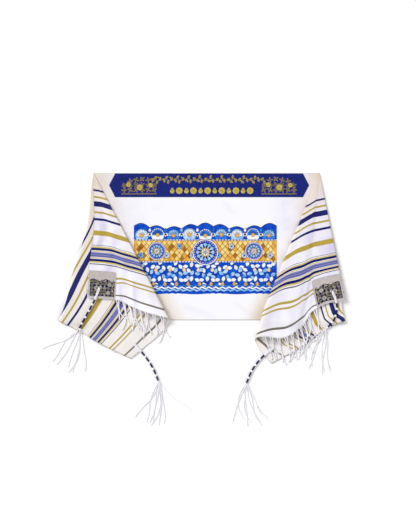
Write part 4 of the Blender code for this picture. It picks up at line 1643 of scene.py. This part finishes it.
@dataclass
class PrintedPanel:
    """The print on the back panel: a garden ornament of rosettes, fruit, leaf scrolls and waves."""

    width: float = 0.536
    height: float = 0.268
    centre_x: float = -0.010
    top_depth: float = 0.185
    step: float = 0.030 * MM
    lobes: int = 9
    line: float = 0.0011

    def plan(self) -> Ornament:
        """Lays the print out on X from -width / 2 to width / 2 and Y from 0 down to -height."""
        art = Ornament(self.line, PrintInk.DARK)
        half, low = self.width / 2, -self.height
        ink = PrintInk
        x = np.linspace(-half, half, 181)
        lobe = self.width / self.lobes
        rise = 0.012 * np.abs(np.cos(math.pi * x / lobe)) + 0.007 * np.cos(TURN * x / self.width * 2)
        top = np.stack([x, -0.021 + rise], -1)
        bottom = np.stack([x, low + 0.002 * np.sin(x * 40)], -1)
        art.cover(bottom, top, 40, 0, ink.COBALT)
        art.ribbon(top, 0.0022, 1, ink.DARK)
        self.shells(art, half, lobe)
        self.tile_band(art, half)
        self.lower_field(art, half, low)
        self.medallion(art, 0.0, -0.112, 0.050)
        for way in (-1, 1):
            self.medallion(art, way * 0.182, -0.108, 0.034)
        return art

    def shells(self, art: Ornament, half: float, lobe: float) -> None:
        """A shell of petals in each scallop, with leaves and fruit between the shells."""
        ink = PrintInk
        tints = ((ink.SKY, ink.WHITE), (ink.WHITE, ink.AZURE), (ink.AZURE, ink.SKY))
        angles = np.linspace(8, 172, 9)
        for i in range(self.lobes):
            cx, cy = -half + lobe * (i + 0.5), -0.050 + 0.003 * (i % 2)
            back, petal = tints[i % 3]
            art.outlined(Motif.disc(28), (cx, cy, 0, 0.0245), 1, back)
            art.outlined(Motif.petal(10, 0.15), at_each(cx, cy, angles, 0.0225), 3, petal)
            art.outlined(Motif.disc(14), (cx, cy, 0, 0.0068), 5, ink.GOLD)
            if i == 0:
                continue
            between = (cx - lobe / 2, -0.030, 90, 0.0062)
            art.outlined(Motif.fruit(), between, 3, tints[i % 3][0])
            leaves = at_each(cx - lobe / 2, -0.040, (-128, -90, -52), 0.014)
            art.outlined(Motif.leaf(10), leaves, 5, ink.WHITE)

    def tile_band(self, art: Ornament, half: float) -> None:
        """A band of gold lozenge tiles between two beaded edges, with small rosettes."""
        ink = PrintInk
        top, low, rows = -0.066, -0.148, 7
        x = np.linspace(-half, half, 61)
        art.cover(np.stack([x, x * 0 + low], -1), np.stack([x, x * 0 + top], -1), 8, 7, ink.GOLD)
        wide, high = 0.0190, (top - low) / rows
        tile = np.array([(1, 0), (0, 1), (-1, 0), (0, -1)]) * (wide / 2, high)
        tints = (ink.GOLD, ink.STRAW, ink.GOLD, ink.AMBER, ink.STRAW, ink.GOLD)
        for row in range(1, rows):
            for k, x in enumerate(np.arange(-half + wide * (0.5 + (row % 2) / 2), half - wide / 2, wide)):
                place = (x, top - high * row, 0, 1.0)
                art.stamp(tile, place, 8, ink.AMBER)
                art.stamp(tile * 0.86, place, 9, tints[(5 * k + 7 * row + k * row) % len(tints)])
        for edge in (top, low):
            ends = np.array([[-half, edge], [half, edge]])
            art.ribbon(ends, 0.0052, 10, ink.DARK)
            art.ribbon(ends, 0.0030, 11, ink.WHITE)
            beads = np.arange(-half + 0.006, half - 0.004, 0.0115)
            art.stamp(Motif.disc(8), at_each(beads, edge, 0, 0.0020), 12, ink.COBALT)
        for k, x in enumerate(np.arange(-half + 0.026, half - 0.01, 0.0485)):
            y = -0.090 if k % 2 else -0.124
            art.flower(x, y, 0.0122, 8, 10, (ink.DARK, ink.DARK))
            art.flower(x, y, 0.0106, 8, 11, (ink.WHITE if k % 3 else ink.SKY, ink.COBALT))

    def lower_field(self, art: Ornament, half: float, low: float) -> None:
        """Big leaf scrolls with fruit between, over rows of waves."""
        ink = PrintInk
        rows = ((-0.166, ink.WHITE, 7.5), (-0.193, ink.SKY, 6.5), (-0.219, ink.WHITE, 8.5))
        for k, (y, leafy, waves) in enumerate(rows):
            path = arc(-half + 0.012, half - 0.012, 240, 0.0075, waves, k * 1.9) + (0, y)
            art.vine(path, 0.0205, 7, 2 + 2 * k, (ink.DARK, leafy), 40.0, True)
            x = np.linspace(-half + 0.03, half - 0.03, 10 + k)
            spots = at_each(x, y - 0.013, 90.0, 0.0078)
            art.outlined(Motif.fruit(), spots, 4 + 2 * k, (ink.STRAW, ink.AZURE, ink.GOLD)[k])
        for k in range(4):
            y = low + 0.031 - 0.0085 * k
            path = arc(-half + 0.002, half - 0.002, 300, 0.0026, 21, k * 1.4) + (0, y)
            art.ribbon(path, 0.0060, 8 + k, (ink.AZURE, ink.WHITE, ink.SKY, ink.COBALT)[k])
            art.ribbon(path + (0, 0.0031), 0.0010, 9 + k, ink.DARK)

    def medallion(self, art: Ornament, x: float, y: float, radius: float) -> None:
        """A round rosette: rings, two rows of petals and an eight-pointed star."""
        ink = PrintInk
        for level, share, tint in ((13, 1.0, ink.DARK), (14, 0.965, ink.WHITE), (15, 0.90, ink.COBALT)):
            art.stamp(Motif.disc(56), (x, y, 0, radius * share), level, tint)
        beads = np.linspace(0, TURN, 29)[:-1]
        around = on_circle(beads) * 0.82 * radius + (x, y)
        ring = at_each(*around.T, beads, 0.045 * radius)
        art.stamp(Motif.disc(10), ring, 16, ink.GOLD)
        art.flower(x, y, 0.76 * radius, 12, 16, (ink.DARK, ink.DARK))
        art.flower(x, y, 0.71 * radius, 12, 17, (ink.SKY, ink.DARK))
        art.stamp(Motif.star(8, 0.62), (x, y, 0, 0.45 * radius), 19, ink.DARK)
        art.stamp(Motif.star(8, 0.62), (x, y, 0, 0.41 * radius), 20, ink.GOLD)
        art.flower(x, y, 0.26 * radius, 8, 21, (ink.WHITE, ink.AMBER), 22.5)

    def build(self, finishes: list[Material]) -> Piece:
        """Makes the print, a film of ink just over the panel's upper side."""
        top = CUT.wall / 2 + 0.42 * MM

        def surface(x: np.ndarray, y: np.ndarray, height: np.ndarray) -> np.ndarray:
            """The plan laid on the back panel."""
            return panel_point(self.centre_x + x, self.top_depth - y, top + height)

        parts = self.plan().raise_on(surface, self.step)
        return parts.to_object("printed_panel", finishes, flat=True)


class StitchInk(IntEnum):
    """The threads of the embroidery."""

    GOLD = 0
    PALE = 1
    NAVY = 2
    BRONZE = 3


@dataclass
class Neckband:
    """The navy neckband: a turned-under satin band, its edge stitching and its gold embroidery."""

    each_side: int = 40
    stitch_inset: float = 0.0026

    def outline(self, inset: float = 0.0) -> np.ndarray:
        """The hexagon as a closed line, drawn in by an inset, about the band's own middle."""
        half, high = BAND.length / 2, BAND.height / 2
        slant = math.hypot(BAND.point, high) / high
        x, y = half - BAND.point - inset * (slant - BAND.point / high), high - inset
        tip = half - inset * slant
        return np.array([(-tip, 0), (-x, -y), (x, -y), (tip, 0), (x, y), (-x, y), (-tip, 0)])

    def surface(self, x: np.ndarray, y: np.ndarray, height: np.ndarray) -> np.ndarray:
        """The band's plan laid on the cloth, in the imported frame."""
        middle = CUT.neck_y - BAND.inset - BAND.height / 2
        level = CUT.wall + BAND.seam
        return np.stack([BAND.centre_x + x, middle + y, level + height], -1) + SHIFT

    def build(self, satin: Material) -> Piece:
        """Makes the band: rings from its rolled edge in to its flat middle, closed below."""
        parts = MeshParts()
        rings = ((0.0, 0.0), (0.0, 0.55), (0.0003, 0.85), (0.0010, 1.0), (0.0040, 1.0))
        grid = []
        for inset, share in rings:
            x, y = resample_straight(self.outline(inset), self.each_side).T
            grid.append(self.surface(x, y, np.full(len(x), share * BAND.thick)))
        rows, count = len(grid), len(grid[0])
        parts.add(np.array(grid), grid_faces(rows, count, wrap=True))
        parts.join([(rows - 1) * count + np.arange(count), np.arange(count)[::-1]])
        return parts.to_object("neckband", [satin])

    def plan(self) -> Ornament:
        """The embroidery: a leaf spray at each end, and two rows of scroll and rosettes between."""
        art = Ornament()
        gold, pale = StitchInk.GOLD, StitchInk.PALE
        for facing in (-1, 1):
            self.spray(art, facing)
        row = arc(-0.222, 0.214, 250, 0.0042, 10) + (0, 0.021)
        art.vine(row, 0.0150, 6, 1, (gold, gold), 58.0, False)
        x = np.linspace(-0.212, 0.206, 20)
        art.stamp(Motif.disc(10), at_each(x, 0.021 - 0.0085 * np.cos(x * 150), 0, 0.0024), 2, pale)
        for k, x in enumerate(np.linspace(-0.138, 0.154, 12)):
            if k % 2:
                art.flower(x, -0.0205, 0.0132, 8, 1, (pale, gold))
            else:
                art.stamp(Motif.fruit(), (x, -0.0225, 90, 0.0105), 1, pale)
                art.stamp(Motif.leaf(8), at_each(x, -0.0225, (60, 120), 0.0075), 2, gold)
        return art

    @staticmethod
    def spray(art: Ornament, facing: int) -> None:
        """A dense block of curled stems and leaves at one end of the band, over a plaited foot."""
        gold, pale, bronze = StitchInk.GOLD, StitchInk.PALE, StitchInk.BRONZE
        middle, wide, high = facing * 0.262, 0.0225, 0.0185
        for column in range(-2, 4):
            for row in range(3):
                crown = 0.004 * math.cos(1.4 * column)
                x = middle + facing * (column - 0.5) * wide
                y = -0.018 + row * high + crown * row / 2
                if row == 2 and column in (-2, 3):
                    continue
                way = 1 if (row + column) % 2 else -1
                stem, leaf = (gold, bronze) if row == 1 else (bronze, gold)
                art.scroll((x, y), 0.0096, 70 * column + 110 * row, way, 1.6, stem)
                turns = 90 * np.arange(4) + 20 * row + 31 * column
                art.stamp(Motif.leaf(8, 0.17), at_each(x, y, turns, 0.0122), 0.5, leaf)
        foot = arc(middle - 0.066, middle + 0.066, 90, 0.0018, 9) + (0, -0.0325)
        art.ribbon(foot, 0.0020, 1, bronze)
        art.ribbon(foot * (1, -1) + (0, -0.065), 0.0020, 1.4, gold)
        for x, y, size in ((-0.040, 0.002, 0.0095), (0.002, -0.008, 0.0120), (0.043, 0.000, 0.0090)):
            art.flower(middle + x, y, size, 8, 2.5, (pale, gold))

    def embroider(self, threads: list[Material]) -> Piece:
        """Makes the raised embroidery."""
        parts = self.plan().raise_on(self.surface, 0.10 * MM, 0.45 * MM, BAND.thick - 0.02 * MM)
        return parts.to_object("neckband_embroidery", threads)

    def edge_stitching(self, thread: Material) -> Piece:
        """A row of short stitches just inside the band's edge."""
        line = self.outline(self.stitch_inset)
        return stitch_row("neckband_stitches", line, self.surface, BAND.thick, thread)


def resample_straight(corners: np.ndarray, each: int) -> np.ndarray:
    """Points along a closed line of corners, as many on each side, without the last one."""
    share = np.linspace(0, 1, each, endpoint=False)[None, :, None]
    sides = corners[:-1, None] + share * (corners[1:] - corners[:-1])[:, None]
    return sides.reshape(-1, corners.shape[1])


def stitch_row(
    name: str, line: np.ndarray, surface: Surface, level: float, thread: Material, turn: bool = False,
    length: float = 2.6 * MM, gap: float = 1.4 * MM, width: float = 0.6 * MM, thick: float = 0.24 * MM,
) -> Piece:
    """A row of straight stitches along a line, each a small domed bar of thread.

    Args:
        name: the piece's name.
        line: the corners that it follows, on the plan.
        surface: takes plan x, plan y and a height, and gives points.
        level: the height that the stitches lie on.
        thread: the finish.
        turn: True to turn the faces over.
        length: how long a stitch is.
        gap: the bare cloth between stitches.
        width: how wide the thread is.
        thick: how high a stitch rises.

    Returns:
        The piece.
    """
    run = lengths(line)
    starts = np.arange(gap, run[-1] - length, length + gap)
    parts = MeshParts()
    share = np.linspace(0, 1, 4)
    at = starts[:, None] + share * length
    plan = np.stack([np.interp(at, run, line[:, k]) for k in (0, 1)], -1)
    ahead = unit(plan[:, -1:] - plan[:, :1])
    side = np.stack([-ahead[..., 1], ahead[..., 0]], -1)
    across = width * np.array([0.5, 0.3, -0.3, -0.5])
    height = level + thick * (np.sin(math.pi * share) ** 0.5)[:, None] * np.array([0, 1, 1, 0])
    for middle, aside in zip(plan, side):
        points = middle[:, None] + across[None, :, None] * aside
        stitch = surface(points[..., 0], points[..., 1], height)
        parts.add(stitch, grid_faces(4, 4), stitch=np.zeros(height.size))
    return parts.turned(turn).to_object(name, [thread])


@dataclass
class CornerPatch:
    """A corner patch: grey satin with dense embroidery over its lower part, and an eyelet.

    Its plan has X from the side of the neck edge and Y from the hem upwards.
    """

    end: FoldedEnd
    lay: TasselLay
    cells: int = 42
    stretch: float = 1.06
    margin: float = 0.0055
    seam_inset: float = 0.003
    eyelet_radius: float = 3.6 * MM

    @property
    def upper(self) -> bool:
        """True on top of the flap, False below the under layer."""
        return self.lay.corner is Face.FLAP

    def surface(self, x: np.ndarray, y: np.ndarray, height: np.ndarray) -> np.ndarray:
        """The plan laid on the cloth's right side, or over the floor below the under layer."""
        grow = self.stretch if self.upper else 1.0
        start = PATCH.inset if self.upper else CUT.width - PATCH.inset - PATCH.side
        past, across = self.end.reach - PATCH.inset - grow * y, start + grow * x
        points = self.end.from_cloth(past, across)
        if self.upper:
            lift = CUT.wall / 2 + PATCH.gap * 0.6 + height
            return points + lift[..., None] * self.end.right_side(past, across)
        points[..., 2] = PATCH.thick - height
        return points

    def build(self, satin: Material) -> Piece:
        """Makes the satin square: two grids, their rims joined."""
        n = self.cells + 1
        side = np.linspace(0, PATCH.side, n)
        x, y = np.meshgrid(side, side, indexing="ij")
        parts, over = MeshParts(), self.end.side < 0
        parts.add(self.surface(x, y, np.zeros_like(x)), grid_faces(n, n, turn=over))
        parts.add(self.surface(x, y, np.full_like(x, PATCH.satin)), grid_faces(n, n, turn=not over))
        grid = np.arange(n * n).reshape(n, n)
        rim = np.concatenate([grid[:-1, 0], grid[-1, :-1], grid[:0:-1, -1], grid[0, :0:-1]])
        nxt = np.roll(rim, -1)
        walls = np.stack([rim, nxt, nxt + n * n, rim + n * n], -1)
        parts.join(walls if over else walls[:, ::-1])
        return parts.to_object(f"satin_patch_{self.lay.name}", [satin])

    def plan(self) -> Ornament:
        """The embroidery: leaf scrolls and rosettes that fill a block with a scalloped upper edge."""
        art = Ornament()
        gold, pale, navy, bronze = StitchInk.GOLD, StitchInk.PALE, StitchInk.NAVY, StitchInk.BRONZE
        low, high, near, far = 0.007, 0.071, self.margin, PATCH.side - self.margin
        x = np.linspace(near, far, 61)
        edge = high + 0.004 * np.abs(np.sin((x - near) * 70)) + 0.004 * np.sin(x * 130)
        art.cover(np.stack([x, x * 0 + low], -1), np.stack([x, edge], -1), 24, 1, navy)
        for row in range(5):
            for column in range(6):
                cx = near + 0.0085 + 0.0154 * column
                cy = low + 0.0070 + 0.0133 * row + 0.0016 * (column % 2)
                way = 1 if (row + column) % 2 else -1
                tint = (gold, pale, gold, bronze)[(2 * row + 3 * column) % 4]
                art.scroll((cx, cy), 0.0062, 80 * column + 130 * row, way, 2, tint)
                leaves = at_each(cx, cy, 30 + 120 * np.arange(3) + 40 * row, 0.0098)
                art.stamp(Motif.leaf(8, 0.20), leaves, 1.6, bronze if tint == gold else gold)
        for cx, cy, size in ((0.030, 0.040, 0.0100), (0.078, 0.056, 0.0090), (0.074, 0.022, 0.0090)):
            art.stamp(Motif.disc(16), (cx, cy, 0, size * 1.15), 3, navy)
            art.flower(cx, cy, size, 8, 3.5, (pale, gold))
        return art

    def embroider(self, threads: list[Material]) -> Piece:
        """Makes the raised embroidery, which is thin below the under layer."""
        dome, step = (0.30 * MM, 0.13 * MM) if self.upper else (0.04 * MM, 0.02 * MM)
        parts = self.plan().raise_on(self.surface, step, dome, PATCH.satin)
        return parts.turned(self.end.side > 0).to_object(f"patch_embroidery_{self.lay.name}", threads)

    def edge_stitching(self, thread: Material) -> Piece:
        """The seam round the patch."""
        low, far = self.seam_inset, PATCH.side - self.seam_inset
        square = np.array([(low, low), (far, low), (far, far), (low, far), (low, low)])
        name, over = f"patch_stitches_{self.lay.name}", self.end.side > 0
        return stitch_row(name, square, self.surface, PATCH.satin, thread, over)

    def eyelet(self, finishes: list[Material]) -> Piece:
        """A ring of wound thread round the hole: a torus whose section waves round it."""
        from_hem = PATCH.eyelet_inset - PATCH.inset
        turn = np.linspace(0, TURN, 73)[:-1][:, None]
        ring = np.linspace(0, TURN, 9)[:-1][None, :]
        radius = self.eyelet_radius + (0.9 * MM + 0.12 * MM * np.cos(24 * turn)) * np.cos(ring)
        x = (from_hem if self.upper else PATCH.side - from_hem) + radius * np.cos(turn)
        height = PATCH.satin + 0.3 * MM + 0.7 * MM * np.sin(ring) + 0 * turn
        if not self.upper:
            height = np.clip(height, 0, PATCH.thick * 0.95)
        points = self.surface(x, from_hem + radius * np.sin(turn), height)
        closed = np.concatenate([points, points[:1]])
        rows, sides = closed.shape[:2]
        parts = MeshParts()
        faces = grid_faces(rows, sides, wrap=True, turn=self.end.side < 0)
        # The eyelet's thread gets no painted ply shade.
        parts.add(closed, faces, groove=np.zeros(rows * sides))
        return parts.to_object(f"eyelet_{self.lay.name}", finishes)


@dataclass
class Studio:
    """A plain pale floor, soft lights and the camera straight above, as in the photograph."""

    long_side: float = 1.95
    distance: float = 4.5
    sensor: float = 36.0
    centre: tuple[float, float] = (0.0, -0.05025)
    floor_half: float = 15.0
    floor_drop: float = 0.2 * MM

    def build(self) -> None:
        """Makes the floor, the lights, the camera and the world."""
        scene = bpy.context.scene
        scene.view_settings.view_transform = "Standard"
        self.floor()
        self.lamp("key", (-3.6, 3.0, 3.9), 28.0, 2.15)
        self.lamp("fill", (3.4, -2.0, 4.4), 50.0, 0.50)
        world = bpy.data.worlds.new("studio")
        world.use_nodes = True
        background = world.node_tree.nodes["Background"]
        background.inputs["Color"].default_value = (1.0, 1.0, 1.0, 1.0)
        background.inputs["Strength"].default_value = 0.49
        scene.world = world
        data = bpy.data.cameras.new("camera")
        data.sensor_width = self.sensor
        data.lens = self.sensor * self.distance / self.long_side
        camera = bpy.data.objects.new("camera", data)
        camera.location = (self.centre[0] + SHIFT[0], self.centre[1] + SHIFT[1], self.distance)
        scene.collection.objects.link(camera)
        scene.camera = camera

    def floor(self) -> None:
        """A wide flat square under the shawl."""
        parts = MeshParts()
        corners = np.array([(-1, -1), (1, -1), (1, 1), (-1, 1)]) * self.floor_half
        parts.add(np.column_stack([corners, np.full(4, -self.floor_drop)]), [[0, 1, 2, 3]])
        shader = Shader("pale_floor", 0.9)
        tone = shader.mix(shader.noise(1.5).between(0.3, 0.7), hex_colour("fefefe"), hex_colour("fcfcfc"))
        floor = parts.to_object("floor", [shader.finish(tone)])

    def lamp(self, name: str, place: tuple[float, float, float], spread: float, strength: float) -> None:
        """A soft far light from a direction, as wide as spread in degrees, so that it falls off nowhere."""
        data = bpy.data.lights.new(name, "SUN")
        data.angle, data.energy = math.radians(spread), strength
        lamp = bpy.data.objects.new(name, data)
        lamp.location = place
        lamp.rotation_euler = (-Vector(place)).to_track_quat("-Z", "Y").to_euler()
        bpy.context.scene.collection.objects.link(lamp)


def dress(piece: Piece, slot: str, *nodes: str) -> Piece:
    """Puts a piece on the body, and hides the solids that it stands for."""
    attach(piece, "root")
    if nodes:
        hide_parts(*nodes)
    LOG.info("%s: %d faces", piece.name, len(piece.data.polygons))
    return piece


def main() -> None:
    """Builds each sub-assembly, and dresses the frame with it."""
    logging.basicConfig(level=logging.INFO, format="%(name)s %(message)s")
    cotton = WovenCloth().build()
    navy_satin, grey_satin = dyed(
        Satin, ("navy_satin", "0a1f80", "08185f"), ("grey_satin", "c8bfbb", "b9b0b0", 0.38)
    )
    threads = dyed(
        Thread, ("gold_thread", "b89f5c", "7c6a38", 0.1),
        ("pale_gold_thread", "e2cd62", "a08c40", 0.1), ("navy_thread", "141c58", "0c1030"),
        ("bronze_thread", "94805a", "5a4c34", 0.1),
    )
    muted = dyed(
        Thread, ("tan_thread", "c4b78a", "7c7150"), ("stone_thread", "d0c8b8", "98928a"),
        ("deep_navy_thread", "141c60", "0a0f38"), ("brown_thread", "7c7264", "4c463e"),
    )
    seam_thread, blue_thread = dyed(
        Thread, ("seam_thread", "c9c2c4", "948d90"), ("blue_seam_thread", "1c2880", "0c1446")
    )
    inks = dyed(
        Ink, ("dark_ink", "0c1230", "161c44"), ("cobalt_ink", "0c5ad6", "0a3cb4"),
        ("sky_ink", "7db4ee", "bcdcfa"), ("white_ink", "fafcff", "dfeafa"),
        ("gold_ink", "ecbc58", "e0a040"), ("amber_ink", "b47a2c", "8c5a1e"),
        ("azure_ink", "3a86e6", "1f66d2"), ("straw_ink", "f4e3a0", "ecc868"),
    )
    white_yarn, blue_yarn = dyed(Yarn, ("white_yarn", "ffffff", "ece8f2"), ("blue_yarn", "141c6c", "090e3c"))

    cloth = dress(ShawlCloth().build(cotton), "woven_cloth", "shawl_cloth")
    band = Neckband()
    going_with = [
        dress(PrintedPanel().build(inks), "woven_cloth"),
        dress(band.build(navy_satin), "neckband_satin", "atarah"),
        dress(band.embroider(threads), "neckband_satin"),
        dress(band.edge_stitching(blue_thread), "neckband_satin"),
    ]
    ground = Ground([cloth])
    for end in ENDS:
        for lay in end.tassels:
            patch = CornerPatch(end, lay)
            square = dress(patch.build(grey_satin), "patch_satin", f"corner_patch_{lay.name}")
            ground.add(square)
            trims = patch.embroider(muted), patch.edge_stitching(seam_thread), patch.eyelet([white_yarn])
            going_with += [square, *(dress(trim, "patch_satin") for trim in trims)]
    for end in ENDS:
        fringe = dress(Fringe().build(end, ground, white_yarn), "fringe_yarn", f"fringe_{end.name}")
        ground.add(fringe)
        going_with.append(fringe)
        for lay in reversed(end.tassels):
            made = CornerTassel().build(end, lay, ground, [white_yarn, blue_yarn])
            tassel = dress(made, "tassel_yarn", f"corner_tassel_{lay.name}")
            ground.add(tassel)
            going_with.append(tassel)
    Studio().build()


if __name__ == "__main__":
    main()
